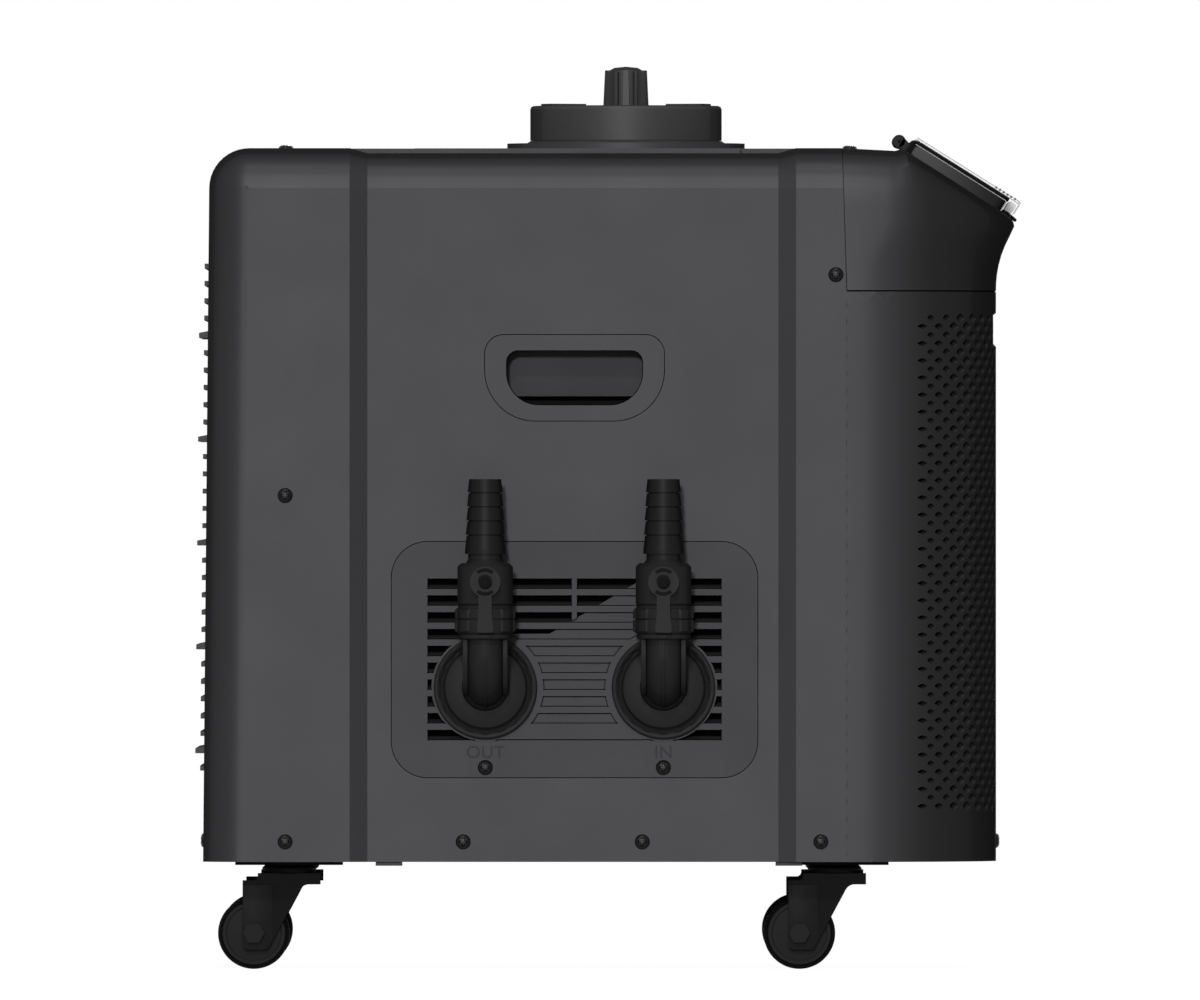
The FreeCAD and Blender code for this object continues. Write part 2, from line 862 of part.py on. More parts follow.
# Port panel: the vented plate that the water ports pass through

def row_slot(x0, x1, row, y_front, depth):
    # One slot, tall at the face and half as tall behind, with a ledge that slopes down and out.
    top = port_panel_top_z() - slot_top_drop - slot_pitch * row
    throat_y = y_front + depth
    corners = [Vector(x0, y_front - 1, top), Vector(x0, throat_y + 1, top),
               Vector(x0, throat_y + 1, top - slot_throat), Vector(x0, throat_y, top - slot_throat),
               Vector(x0, y_front, top - slot_height), Vector(x0, y_front - 1, top - slot_height)]
    face = Part.Face(Part.makePolygon(corners + corners[:1]))
    return face.extrude(Vector(x1 - x0, 0, 0))


def port_panel_top_z():
    return ground_clearance + port_panel_bottom_rise + port_panel_height


def row_pocket(x0, x1, row, y_front):
    top = port_panel_top_z() - slot_top_drop - slot_pitch * row
    return box(x0, x1, y_front - 1, y_front + slot_pocket_depth, top - slot_height, top)


def blank_zone(y0, y1):
    # The closed part of the field of slots: below a slant between the two ports.
    top = port_panel_top_z()
    high = top - slot_top_drop + 2
    lean = (blank_low_gap - blank_top_gap) / (blank_low_drop - blank_top_drop)
    high_x = port_x[1] - blank_top_gap + (high - top + blank_top_drop) * lean
    low_z = top - blank_low_drop
    foot_z = top - slot_top_drop - slot_pitch * slot_rows
    return side_profile([(high_x, high), (port_x[1] - blank_low_gap, low_z), (port_x[0], low_z),
                         (port_x[0], foot_z), (port_x[1], foot_z), (port_x[1], high)], y0, y1)


def port_panel():
    y_front = -belt_y
    plate = port_plate(0, y_front, y_front + shell_wall)
    flange = port_plate(panel_flange, y_front + shell_wall, y_front + shell_wall + panel_flange_thickness)
    depth = shell_wall + panel_flange_thickness
    left = port_panel_rear_x + slot_margin
    right = port_panel_rear_x + port_panel_width - slot_margin
    middle = (port_x[0] + port_x[1]) / 2
    port_z = ground_clearance + port_rise
    near = y_front - 3
    far = y_front + depth + 3
    bosses = []
    islands = []
    tails = []
    for x in port_x:
        ends = (Vector(x, near, port_z), Vector(x, far, port_z))
        bosses.append(rod(*ends, port_boss_radius))
        islands.append(rod(*ends, port_boss_radius + pocket_boss_gap))
        tails.append(rod(*ends, elbow_radius + loose_clearance))
    top = port_panel_top_z()
    rib = box(middle - slot_rib / 2, middle + slot_rib / 2, near, far, ground_clearance, top)
    rows = Part.makeCompound([row_slot(left, right, row, y_front, depth) for row in range(slot_rows)])
    slots = rows.cut(bosses + [blank_zone(near, far), rib])
    pockets = Part.makeCompound([row_pocket(left, right, row, y_front) for row in range(slot_rows - 1)])
    blanks = pockets.common(blank_zone(near, far)).cut(islands)
    field_low = top - slot_top_drop - slot_pitch * (slot_rows - 1) - slot_height
    groove = box(left, right, near, y_front + slot_edge_groove, field_low, field_low + slot_edge_groove)
    panel = plate.fuse(flange).cut([slots, blanks, groove.cut(bosses)] + tails)
    return panel.cut(screw_holes()).removeSplitter()


# Hand hold: a cup behind a flat ring

def handle_opening(grow, y0, y1):
    # The hole inside the ring; grow gives the outside of the cup's wall.
    across = handle_width / 2 - handle_rim + grow
    low = ground_clearance + handle_bottom_rise + handle_rim_low - grow
    high = ground_clearance + handle_bottom_rise + handle_height - handle_rim_low + grow
    return side_plate(handle_x - across, handle_x + across, low, high,
                      handle_hole_top_radius + grow, handle_hole_bottom_radius + grow, y0, y1)


def handle_cup():
    face = -belt_y
    ring = handle_plate(0, face, face + shell_wall)
    back = face + shell_wall
    flange = handle_plate(handle_flange, back, back + handle_flange_thickness)
    outer = handle_opening(handle_wall, back, face + handle_step_depth + handle_wall)
    hollow = handle_opening(0, face - 1, face + handle_depth)
    step_z = ground_clearance + handle_bottom_rise + handle_rim_low + handle_step_rise
    closed = box(handle_x - handle_width, handle_x + handle_width, face + handle_step_depth,
                 face + handle_depth + 1, step_z, step_z + handle_height)
    return fused([ring, flange, outer]).cut(hollow.cut(closed))


# Base pan that everything stands on

def pan_outline(z, inset):
    half = half_pan_width() - inset
    front = half_length - grille_wall - pan_fit - inset
    rear = -half_length + shell_wall + pan_fit + inset
    front_radius = front_corner_radius - grille_wall - pan_fit - inset
    rear_radius = edge_radius - inset
    points = [Vector(rear, -half, z), Vector(front, -half, z), Vector(front, half, z), Vector(rear, half, z)]
    return rounded_wire(points, [rear_radius, front_radius, front_radius, rear_radius])


def base_pan():
    outer = Part.Face(pan_outline(ground_clearance, 0)).extrude(up * pan_flange_height)
    hollow = Part.Face(pan_outline(ground_clearance + pan_floor, pan_wall)).extrude(up * pan_flange_height)
    pads = []
    edge = half_pan_width() - pad_side_inset
    for x in (caster_x[0] + pad_rear_offset, caster_x[1] - pad_front_offset):
        for side in (-1, 1):
            y0, y1 = sorted((side * edge, side * (edge - pad_width)))
            pads.append(box(x - pad_length / 2, x + pad_length / 2, y0, y1,
                            ground_clearance - pad_height, ground_clearance))
    pan = outer.cut(hollow).fuse(pads)
    return pan.cut(screw_holes()).removeSplitter()


# Casters

def caster_plates():
    plates = []
    for x in caster_x:
        for side in (-1, 1):
            y = side * caster_y
            plate_z = ground_clearance - caster_plate_thickness
            plate = box(x - caster_plate_length / 2, x + caster_plate_length / 2,
                        y - caster_plate_width / 2, y + caster_plate_width / 2, plate_z, ground_clearance)
            neck = race_radius - race_lip
            bottom = crown_top() + loose_clearance
            pin_low = crown_top() - fork_sheet - loose_clearance
            race = turned([(0, plate_z), (neck, plate_z), (race_radius, plate_z - race_height * 0.35),
                           (race_radius, plate_z - race_height * 0.65), (neck, bottom),
                           (kingpin_radius, bottom), (kingpin_radius, pin_low),
                           (kingpin_radius + kingpin_head, pin_low),
                           (kingpin_radius + kingpin_head, pin_low - kingpin_head),
                           (0, pin_low - kingpin_head)], Vector(x, y, 0))
            plates.append(plate.fuse(race).removeSplitter())
    return Part.makeCompound(plates)


def crown_top():
    return ground_clearance - caster_plate_thickness - race_height


def fork_half_width():
    return wheel_width / 2 + fork_gap + fork_sheet


def caster_fork(x, y):
    top = crown_top()
    half = fork_half_width()
    toe = wheel_radius - fork_toe_drop
    axle_x = x - caster_trail
    rear = axle_x - fork_heel
    underside = top - fork_crown_drop
    shoulder = top - fork_shoulder_drop
    outline = [(x + fork_crown_half, top), (x + fork_crown_half, underside), (x + fork_brace_top_x, underside),
               (x + fork_brace_low_x, toe), (rear, toe), (rear, shoulder), (x - fork_crown_half, shoulder),
               (x - fork_crown_half, top)]
    radii = [0, 0, fork_crown_fillet, fork_toe_fillet, fork_toe_fillet, 0, fork_shoulder_fillet, 0]
    form = side_profile(outline, y - half, y + half, radii)
    channel = box(x - 60, x + 60, y - half + fork_sheet, y + half - fork_sheet, 0, top - fork_sheet)
    kingpin_hole = rod(Vector(x, y, top - 10), Vector(x, y, top + 5), kingpin_radius + running_clearance)
    axle_hole = rod(Vector(axle_x, y - half - 5, wheel_radius), Vector(axle_x, y + half + 5, wheel_radius),
                    axle_radius)
    braces = []
    for side in (-1, 1):
        y0, y1 = sorted((y + side * (half - fork_brace_step), y + side * (half + 1)))
        braces.append(box(rear + fork_leg_width, x + fork_crown_half + 1, y0, y1, 0, underside))
    return form.cut([channel, kingpin_hole, axle_hole] + braces)


def caster_wheel(x, y):
    half = wheel_width / 2
    bore = axle_radius + running_clearance
    face = half - wheel_dish
    rim = wheel_radius - wheel_tread
    side = [(bore, half), (wheel_hub_radius, half), (wheel_hub_radius + wheel_dish, face), (rim - 1, face),
            (rim, half - wheel_dish / 4), (wheel_radius, half - 2 * wheel_dish)]
    far_side = [(radius, -height) for radius, height in reversed(side)]
    return turned(side + far_side, Vector(x - caster_trail, y, wheel_radius), along_y)


def caster_axle(x, y):
    half = fork_half_width()
    centre = Vector(x - caster_trail, y, wheel_radius)
    shank = rod(centre - along_y * half, centre + along_y * half, axle_radius)
    heads = []
    for side in (-1, 1):
        out = along_y * side
        heads.append(hex_prism(centre + out * half, out, axle_head_across_flats, axle_head_height))
    return shank.fuse(heads)


# Water ports

def valve_y():
    return -belt_y - port_reach - elbow_bend


def collar_z():
    return ground_clearance + port_rise + elbow_bend + elbow_rise


def ball_z():
    return collar_z() + collar_height + nut_height + valve_height * 0.55


def valve_top_z():
    return collar_z() + collar_height + nut_height + valve_height


def port_disc(x):
    return turned([(elbow_radius, 0), (disc_radius, 0), (disc_radius, disc_rim - 1.5),
                   (disc_radius - 1.5, disc_rim), (disc_rim_radius, disc_rim), (disc_rim_radius - 0.8, disc_groove),
                   (disc_dish_radius, disc_groove), (disc_dish_radius - 1.5, disc_dish),
                   (disc_hub_radius, disc_height), (elbow_radius, disc_height)],
                  Vector(x, -belt_y, ground_clearance + port_rise), -along_y)


def elbow(x):
    port_z = ground_clearance + port_rise
    axis_y = valve_y()
    bend_y = axis_y + elbow_bend
    tail_y = -belt_y + tail_length
    bend_centre = Vector(x, bend_y, port_z + elbow_bend)

    def pipe(radius, extra):
        level = rod(Vector(x, tail_y + extra, port_z), Vector(x, bend_y, port_z), radius)
        ring = Part.Face(Part.Wire(Part.makeCircle(radius, Vector(x, bend_y, port_z), along_y)))
        bend = ring.revolve(bend_centre, along_x, -90)
        riser = rod(Vector(x, axis_y, port_z + elbow_bend), Vector(x, axis_y, collar_z() + extra), radius)
        return fused([level, bend, riser])

    collar = rod(Vector(x, axis_y, collar_z()), Vector(x, axis_y, collar_z() + collar_height), collar_radius)
    ribs = []
    reach = elbow_bend + elbow_radius
    side = elbow_radius + 0.5
    cheek = elbow_cheek_thickness
    for offset, thickness, outer in ((-side, cheek, reach), (side, cheek, reach),
                                     (0, elbow_rib_thickness, reach + elbow_rib)):
        left = x + offset - thickness / 2
        disc = Part.makeCylinder(outer, thickness, Vector(left, bend_y, bend_centre.z), along_x)
        hub = Part.makeCylinder(elbow_bend - elbow_radius * 0.6, thickness + 2,
                                Vector(left - 1, bend_y, bend_centre.z), along_x)
        quarter = box(x + offset - 5, x + offset + 5, bend_y - outer - 5, bend_y,
                      bend_centre.z - outer - 5, bend_centre.z)
        ribs.append(disc.cut(hub).common(quarter))
    body = fused([pipe(elbow_radius, 0), collar] + ribs)
    return body.cut(pipe(water_bore, 5))


def union_nut(x):
    low = collar_z() + collar_height
    hole = thread_radius + loose_clearance
    neck = nut_radius - nut_chamfer
    nut = turned([(hole, 0), (nut_radius, 0), (nut_radius, nut_height * 0.78),
                  (neck, nut_height * 0.9), (neck, nut_height - loose_clearance),
                  (hole, nut_height - loose_clearance)], Vector(x, valve_y(), low))
    lugs = []
    for index in range(nut_lugs):
        lug = box(nut_radius - 1.5, nut_radius + nut_lug, -nut_lug_width / 2, nut_lug_width / 2,
                  0, nut_height * 0.72)
        lug.rotate(Vector(0, 0, 0), up, 360 / nut_lugs * index)
        lug.translate(Vector(x, valve_y(), low))
        lugs.append(lug)
    return nut.fuse(lugs).removeSplitter()


def valve_body(x):
    low = collar_z() + collar_height
    shoulder = low + nut_height
    top = valve_top_z()
    body = turned([(water_bore, low), (thread_radius, low), (thread_radius, shoulder),
                   (valve_radius - 1, shoulder), (valve_radius, shoulder + 1), (valve_radius, top - valve_edge),
                   (valve_radius - valve_edge, top), (valve_neck_radius + 2, top),
                   (valve_neck_radius, top + valve_edge), (valve_neck_radius, top + valve_neck_height),
                   (water_bore, top + valve_neck_height)], Vector(x, valve_y(), 0))
    gland_end = valve_y() - valve_radius - gland_reach
    gland = rod(Vector(x, valve_y() - thread_radius, ball_z()), Vector(x, gland_end, ball_z()), gland_radius)
    cavity = Part.makeSphere(ball_radius + loose_clearance, Vector(x, valve_y(), ball_z()))
    stem_hole = rod(Vector(x, valve_y(), ball_z()), Vector(x, gland_end - 5, ball_z()),
                    stem_radius + running_clearance)
    water_way = rod(Vector(x, valve_y(), low - 5), Vector(x, valve_y(), top + 20), water_bore)
    return body.fuse(gland).cut([cavity, stem_hole, water_way])


def valve_ball(x):
    centre = Vector(x, valve_y(), ball_z())
    ball = Part.makeSphere(ball_radius, centre)
    way = rod(centre - up * 20, centre + up * 20, water_bore)
    flat_y = valve_y() - ball_radius + stem_flat
    flat = box(x - 20, x + 20, valve_y() - 20, flat_y, ball_z() - 20, ball_z() + 20)
    return ball.cut([way, flat])


def ring_sector(centre, inner, outer, half_deg, middle_deg, depth):
    # Part of a ring in the XZ plane, sunk along +Y from its front.
    corners = []
    for radius, turns in ((outer, (-1, 0, 1)), (inner, (1, 0, -1))):
        for turn in turns:
            angle = math.radians(middle_deg + half_deg * turn)
            corners.append(centre + Vector(radius * math.cos(angle), 0, radius * math.sin(angle)))
    edges = [Part.Arc(*corners[:3]).toShape(), Part.LineSegment(corners[2], corners[3]).toShape(),
             Part.Arc(*corners[3:]).toShape(), Part.LineSegment(corners[5], corners[0]).toShape()]
    return Part.Face(Part.Wire(edges)).extrude(along_y * depth)


def valve_lever(x):
    head_back = valve_y() - valve_radius - gland_reach - loose_clearance
    head_front = head_back - lever_thickness
    stem_start = valve_y() - ball_radius + stem_flat
    centre_z = ball_z()
    stem = rod(Vector(x, stem_start, centre_z), Vector(x, head_back, centre_z), stem_radius)
    head = rod(Vector(x, head_back, centre_z), Vector(x, head_front, centre_z), lever_head_radius)
    shoulder = centre_z - math.sqrt(lever_head_radius ** 2 - lever_arm_half ** 2)
    tip = centre_z - lever_length
    arm_outline = [(x - lever_arm_half, centre_z), (x - lever_arm_half, (shoulder + tip) / 2),
                   (x - lever_tip_half, tip), (x + lever_tip_half, tip),
                   (x + lever_arm_half, (shoulder + tip) / 2), (x + lever_arm_half, centre_z)]
    arm = side_profile(arm_outline, head_front, head_back, [0, 0, lever_tip_radius, lever_tip_radius, 0, 0])
    front = Vector(x, head_front, centre_z)
    slots = [ring_sector(front, lever_slot_inner, lever_slot_outer, lever_slot_half_deg, middle, lever_slot_depth)
             for middle in (90, 270)]
    groove = rod(front, front + along_y * lever_cap_height, lever_cap_radius + lever_cap_groove)
    cap = rod(front + along_y * lever_cap_height, front - along_y * lever_cap_height, lever_cap_radius)
    return fused([stem, head, arm]).cut(slots + [groove]).fuse(cap).removeSplitter()


def hose_barb(x):
    base = valve_top_z() + valve_neck_height
    pitch = (barb_height - barb_land) / barb_ridges
    corners = [(barb_bore, 0), (barb_root_radius, 0), (barb_root_radius, barb_land)]
    for index in range(barb_ridges):
        share = index / (barb_ridges - 1)
        ridge = barb_root_radius + (barb_tip_radius - barb_root_radius) * share
        start = barb_land + pitch * index
        if index > 0:
            neck = ridge - barb_step - barb_groove_depth
            corners += [(neck, start), (neck, start + barb_groove), (ridge, start + barb_groove)]
        corners.append((ridge - barb_step, start + pitch))
    corners.append((barb_bore, barb_height))
    return turned(corners, Vector(x, valve_y(), base))


# Water filter

def filter_seat():
    return Vector(filter_x, 0, top_z)


def filter_bowl():
    inner = filter_bowl_radius - filter_bowl_wall
    collar = filter_flange_height + filter_collar_height
    bowl = turned([(inner, collar), (inner, -filter_bowl_depth + filter_bowl_wall),
                   (0, -filter_bowl_depth + filter_bowl_wall), (0, -filter_bowl_depth),
                   (filter_bowl_radius, -filter_bowl_depth), (filter_bowl_radius, 0),
                   (filter_flange_radius, 0), (filter_flange_radius, filter_flange_height),
                   (lid_radius + 2.5, filter_flange_height), (lid_radius, collar)], filter_seat())
    return bowl


def filter_seal():
    inner = filter_bowl_radius - filter_bowl_wall
    return turned([(inner - seal_section, 0), (inner - loose_clearance, 0), (inner - loose_clearance, seal_section),
                   (inner - seal_section, seal_section)],
                  filter_seat() - up * (2 * seal_section))


def filter_lid():
    base = filter_flange_height + filter_collar_height + loose_clearance
    inner = filter_bowl_radius - filter_bowl_wall
    plug = inner - loose_clearance
    groove_high = -seal_section + loose_clearance
    groove_low = -2 * seal_section - loose_clearance
    top = base + lid_height
    hole = knob_shaft_radius + running_clearance
    skirt = plug - lid_skirt
    low = groove_low - lid_skirt_end
    lid = turned([(hole, top), (lid_radius - lid_edge, top), (lid_radius - lid_edge * 0.3, top - lid_edge * 0.3),
                  (lid_radius, top - lid_edge),
                  (lid_radius, base), (plug, base), (plug, groove_high), (plug - seal_section, groove_high),
                  (plug - seal_section, groove_low), (plug, groove_low), (plug, low), (skirt, low),
                  (skirt, top - lid_roof), (hole, top - lid_roof)], filter_seat())
    pads = []
    for side in (-1, 1):
        ring = turned([(lid_pad_inner, top - 0.5), (lid_pad_outer, top - 0.5),
                       (lid_pad_outer, top + lid_pad_height), (lid_pad_inner, top + lid_pad_height)],
                      filter_seat())
        wedge_x = side * (lid_radius + 10)
        wedge_y = (lid_radius + 10) * math.tan(math.radians(lid_pad_half_deg))
        seat = filter_seat()
        wedge = Part.makePolygon([seat, seat + Vector(wedge_x, -wedge_y, 0), seat + Vector(wedge_x, wedge_y, 0),
                                  seat])
        pads.append(ring.common(Part.Face(wedge).extrude(up * 2 * lid_height)))
    return lid.fuse(pads).removeSplitter()


def filter_knob():
    base = filter_flange_height + filter_collar_height + loose_clearance + lid_height + loose_clearance
    top = base + knob_height
    seat = filter_seat()
    hub = turned([(0, base), (knob_hub_radius, base), (knob_hub_radius, top),
                  (knob_hub_radius * 0.7, top + knob_dome * 0.7), (0, top + knob_dome)], seat)
    collar = base - lid_height * 0.5
    shaft = turned([(0, base), (knob_shaft_radius, base), (knob_shaft_radius, collar),
                    (knob_collar_radius, collar), (knob_collar_radius, collar - knob_collar_height),
                    (0, collar - knob_collar_height)], seat)
    fins = []
    for index in range(knob_fins):
        turn = 360 / knob_fins * index
        low = Part.makePolygon(fin_section(knob_radius, knob_fin_base_half, base))
        high = Part.makePolygon(fin_section(knob_radius - knob_taper, knob_fin_top_half, top))
        fin = Part.makeLoft([low, high], True, True)
        fin.rotate(Vector(0, 0, 0), up, turn + 180 / knob_fins)
        rib = box(0, knob_rib_radius, -knob_rib_half, knob_rib_half, base, top - knob_taper)
        rib.rotate(Vector(0, 0, 0), up, turn)
        for piece in (fin, rib):
            piece.translate(seat)
            fins.append(piece)
    return fused([hub, shaft] + fins)


def fin_section(reach, half, z):
    return [Vector(0, -half, z), Vector(reach, -half, z), Vector(reach, half, z), Vector(0, half, z),
            Vector(0, -half, z)]


def filter_cartridge():
    low = -filter_bowl_depth + filter_bowl_wall
    high = -cartridge_top_drop
    cap = cartridge_radius + cartridge_cap
    waist_low = low + cartridge_cap_height
    waist_high = high - cartridge_cap_height
    return turned([(cartridge_core, low), (cap, low), (cap, waist_low), (cartridge_radius, waist_low),
                   (cartridge_radius, waist_high), (cap, waist_high), (cap, high), (cartridge_core, high)],
                  filter_seat())


# Control unit, drawn on a level hood: x runs down the slope, z stands off it

def on_slope(shape):
    placed = shape.copy()
    placed.rotate(Vector(0, 0, 0), along_y, hood_slope_deg)
    placed.translate(Vector(hood_break_x, 0, top_z - hood_break_drop))
    return placed


def slope_plate(x0, x1, half, z0, z1, radius):
    points = [Vector(x0, -half, z0), Vector(x1, -half, z0), Vector(x1, half, z0), Vector(x0, half, z0)]
    return Part.Face(rounded_wire(points, [radius] * 4)).extrude(up * (z1 - z0))


def display_end():
    return display_start + display_length


def display_box():
    half = display_width / 2
    border = display_border
    upper = slope_plate(display_start, display_end(), half, display_neck, display_height, display_corner)
    neck = slope_plate(display_start + 3, display_end() - 3, half - 3, 0, display_neck, display_corner - 2)
    tray = slope_plate(display_start + border, display_end() - border, half - border,
                       display_height - display_panel_thickness, display_height + 1, display_corner / 2)
    ears = []
    for y in hinge_places():
        low_y = y - hinge_knuckle / 2
        high_y = y + hinge_knuckle / 2
        ears.append(box(-hinge_back, display_start + 2, low_y, high_y,
                        display_neck + 0.2, display_neck + 0.2 + hinge_ear_thickness))
        ears.append(rod(hinge_axis(low_y), hinge_axis(high_y), hinge_radius))
    pin_hole = rod(hinge_axis(-half), hinge_axis(half), hinge_pin_radius)
    return on_slope(fused([upper, neck] + ears).cut([tray, pin_hole]))


def hinge_places():
    return (-display_width * 0.3, display_width * 0.3)


def hinge_axis(y):
    return Vector(-hinge_back, y, hinge_rise)


def display_panel():
    inset = display_border + display_panel_gap
    bottom = display_height - display_panel_thickness
    return on_slope(slope_plate(display_start + inset, display_end() - inset, display_width / 2 - inset,
                                bottom, bottom + display_panel_thickness, display_corner / 2 - display_panel_gap))


def display_gasket():
    half = display_width / 2
    outer = slope_plate(display_start - gasket_overhang, display_end() + gasket_overhang, half + gasket_overhang,
                        display_height, display_height + gasket_height, display_corner + 1)
    inset = display_border - 0.5
    inner = slope_plate(display_start + inset, display_end() - inset, half - inset,
                        display_height - 1, display_height + gasket_height + 1, display_corner / 2)
    return on_slope(outer.cut(inner))


def clear_cover():
    low = display_height + gasket_height + loose_clearance
    high = low + cover_thickness
    half = display_width / 2 + gasket_overhang + cover_gap + cover_rim
    end = display_end() + cover_overhang
    skirt_low = display_neck + 2.0
    lid = slope_plate(-hinge_back + 2, end, half, skirt_low, high, cover_corner_radius)
    hollow = box(-hinge_back, display_end() + gasket_overhang + cover_gap, -half + cover_rim, half - cover_rim,
                 skirt_low - 1, low)
    behind = box(-hinge_back, cover_skirt_start, -half - 1, half + 1, skirt_low - 1, low)
    lid = lid.cut([hollow, behind])
    knuckle = display_width * 0.3 - hinge_knuckle / 2 - loose_clearance
    barrel = rod(hinge_axis(-knuckle), hinge_axis(knuckle), hinge_radius)
    web = box(-hinge_back, -hinge_back + hinge_web, -knuckle, knuckle, hinge_rise, high)
    ribs = []
    for index in range(cover_ribs):
        x = end - cover_rib_start - cover_rib_pitch * index
        ribs.append(box(x - cover_rib_width / 2, x + cover_rib_width / 2, -cover_rib_half, cover_rib_half,
                        high - 0.3, high + cover_rib_height))
    bore = rod(hinge_axis(-half), hinge_axis(half), hinge_pin_radius + running_clearance)
    return on_slope(fused([lid, barrel, web] + ribs).cut(bore))


def cover_pin():
    knuckle = display_width * 0.3 + hinge_knuckle / 2
    end = knuckle + hinge_pin_end
    return on_slope(rod(hinge_axis(-end), hinge_axis(end), hinge_pin_radius))


# Works inside the cabinet

def pan_top():
    return ground_clearance + pan_floor


def condenser_front_x():
    return half_length - grille_wall - condenser_front_gap


def fan_z():
    return pan_top() + fan_rise


def condenser():
    front = condenser_front_x()
    rear = front - condenser_depth
    half = condenser_half_width
    low = pan_top() + condenser_core_rise
    high = pan_top() + condenser_height
    core = box(rear, front, -half, half, low, high)
    ends = []
    for side in (-1, 1):
        y0, y1 = sorted((side * half, side * (half + condenser_end_plate)))
        ends.append(box(rear, front, y0, y1, pan_top(), high + condenser_end_rise))
    pitch = 2 * half / condenser_fins
    grooves = []
    for index in range(condenser_fins):
        y = -half + pitch * (index + 0.5)
        grooves.append(box(front - condenser_fin_depth, front + 1, y - condenser_fin_gap / 2,
                           y + condenser_fin_gap / 2, low + condenser_core_rise, high - condenser_core_rise))
    return fused([core] + ends).cut(Part.makeCompound(grooves))


def shroud_front_x():
    return condenser_front_x() - condenser_depth


def fan_shroud():
    front = shroud_front_x()
    half = condenser_half_width
    opening = fan_radius + fan_tip_gap
    sheet = fan_shroud_sheet
    plate = box(front - sheet, front, -half, half, pan_top(), pan_top() + condenser_height)
    rear = front - fan_shroud_depth
    ring = rod(Vector(rear, 0, fan_z()), Vector(front, 0, fan_z()), opening + sheet)
    cradle = rod(Vector(rear - fan_cradle_length, 0, fan_z()), Vector(rear + sheet, 0, fan_z()),
                 motor_radius + fan_cradle)
    arms = []
    for index in range(3):
        arm = box(rear, rear + sheet, -fan_arm_width / 2, fan_arm_width / 2, motor_radius + 2, opening + 1)
        arm.rotate(Vector(0, 0, 0), along_x, 120 * index)
        arm.translate(Vector(0, 0, fan_z()))
        arms.append(arm)
    through = rod(Vector(rear - 20, 0, fan_z()), Vector(front + 5, 0, fan_z()), opening)
    seat = rod(Vector(rear - 20, 0, fan_z()), Vector(rear + 8, 0, fan_z()), motor_radius)
    body = fused([plate, ring]).cut(through)
    spider = fused([cradle] + arms).cut(seat)
    return body.fuse(spider).removeSplitter()


def fan_motor():
    rear = motor_face_x()
    body = rod(Vector(rear - motor_length, 0, fan_z()), Vector(rear, 0, fan_z()), motor_radius)
    shaft = rod(Vector(rear, 0, fan_z()), Vector(shroud_front_x() - 2, 0, fan_z()), fan_shaft_radius)
    return body.fuse(shaft)


def motor_face_x():
    return shroud_front_x() - fan_shroud_depth + fan_shroud_sheet


def fan_rotor():
    start = motor_face_x() + fan_thrust_gap
    hub = rod(Vector(start, 0, fan_z()), Vector(start + fan_hub_length, 0, fan_z()), fan_hub_radius)
    blades = []
    for index in range(fan_blades):
        root = Part.makePolygon(blade_section(start, fan_hub_radius - 4, fan_root_chord, fan_root_lean))
        tip = Part.makePolygon(blade_section(start, fan_radius + 4, fan_tip_chord, fan_tip_lean))
        blade = Part.makeLoft([root, tip], True, True)
        blade.rotate(Vector(0, 0, 0), along_x, 360 / fan_blades * index)
        blade.translate(Vector(0, 0, fan_z()))
        blades.append(blade)
    bore = rod(Vector(start - 5, 0, fan_z()), Vector(start + fan_hub_length + 5, 0, fan_z()),
               fan_shaft_radius + running_clearance)
    sweep = rod(Vector(start - 10, 0, fan_z()), Vector(start + fan_hub_length + 10, 0, fan_z()), fan_radius)
    return fused([hub] + blades).common(sweep).cut(bore)


def blade_section(start, radius, chord, rise):
    # A thin leaning slice across a blade, at one radius.
    low = start + (fan_hub_length - rise) / 2
    high = low + rise
    half = chord / 2
    return [Vector(low, -half, radius), Vector(low + fan_blade_thickness, -half, radius),
            Vector(high, half, radius), Vector(high - fan_blade_thickness, half, radius),
            Vector(low, -half, radius)]


def compressor():
    low = pan_top() + grommet_height
    top = low + compressor_height
    radius = compressor_radius
    seam_low = low + compressor_seam_rise
    bead = radius + compressor_seam
    shell = turned([(0, low + 4), (radius * 0.8, low + 4), (radius, low + 22), (radius, seam_low),
                    (bead, seam_low + 2), (bead, seam_low + 8), (radius, seam_low + 10), (radius, top - 28),
                    (radius * 0.72, top - 6), (0, top)], Vector(compressor_x, compressor_y, 0))
    half_foot = compressor_foot_length / 2
    half_wide = compressor_foot_width / 2
    feet = box(compressor_x - half_foot, compressor_x + half_foot, compressor_y - half_wide,
               compressor_y + half_wide, low, low + compressor_foot_height)
    holes = []
    for x, y in compressor_bolts():
        holes.append(rod(Vector(x, y, low - 1), Vector(x, y, low + compressor_foot_height + 3), bolt_hole_radius))
    return shell.fuse(feet).cut(holes).removeSplitter()


def compressor_bolts():
    places = []
    for sx in (-1, 1):
        for sy in (-1, 1):
            places.append((compressor_x + sx * bolt_across / 2, compressor_y + sy * bolt_along / 2))
    return places


def compressor_grommets():
    low = pan_top()
    seat = low + grommet_height
    top = seat + compressor_foot_height
    pieces = []
    for x, y in compressor_bolts():
        pieces.append(turned([(0, low), (grommet_radius, low), (grommet_radius, seat),
                              (grommet_neck_radius, seat), (grommet_neck_radius, top), (0, top)], Vector(x, y, 0)))
    return Part.makeCompound(pieces)


def exchanger_port(z):
    start = Vector(exchanger_x + exchanger_radius - 2, exchanger_y, z)
    return rod(start, start + along_x * (exchanger_port_length + 2), water_pipe_radius + pipe_socket)


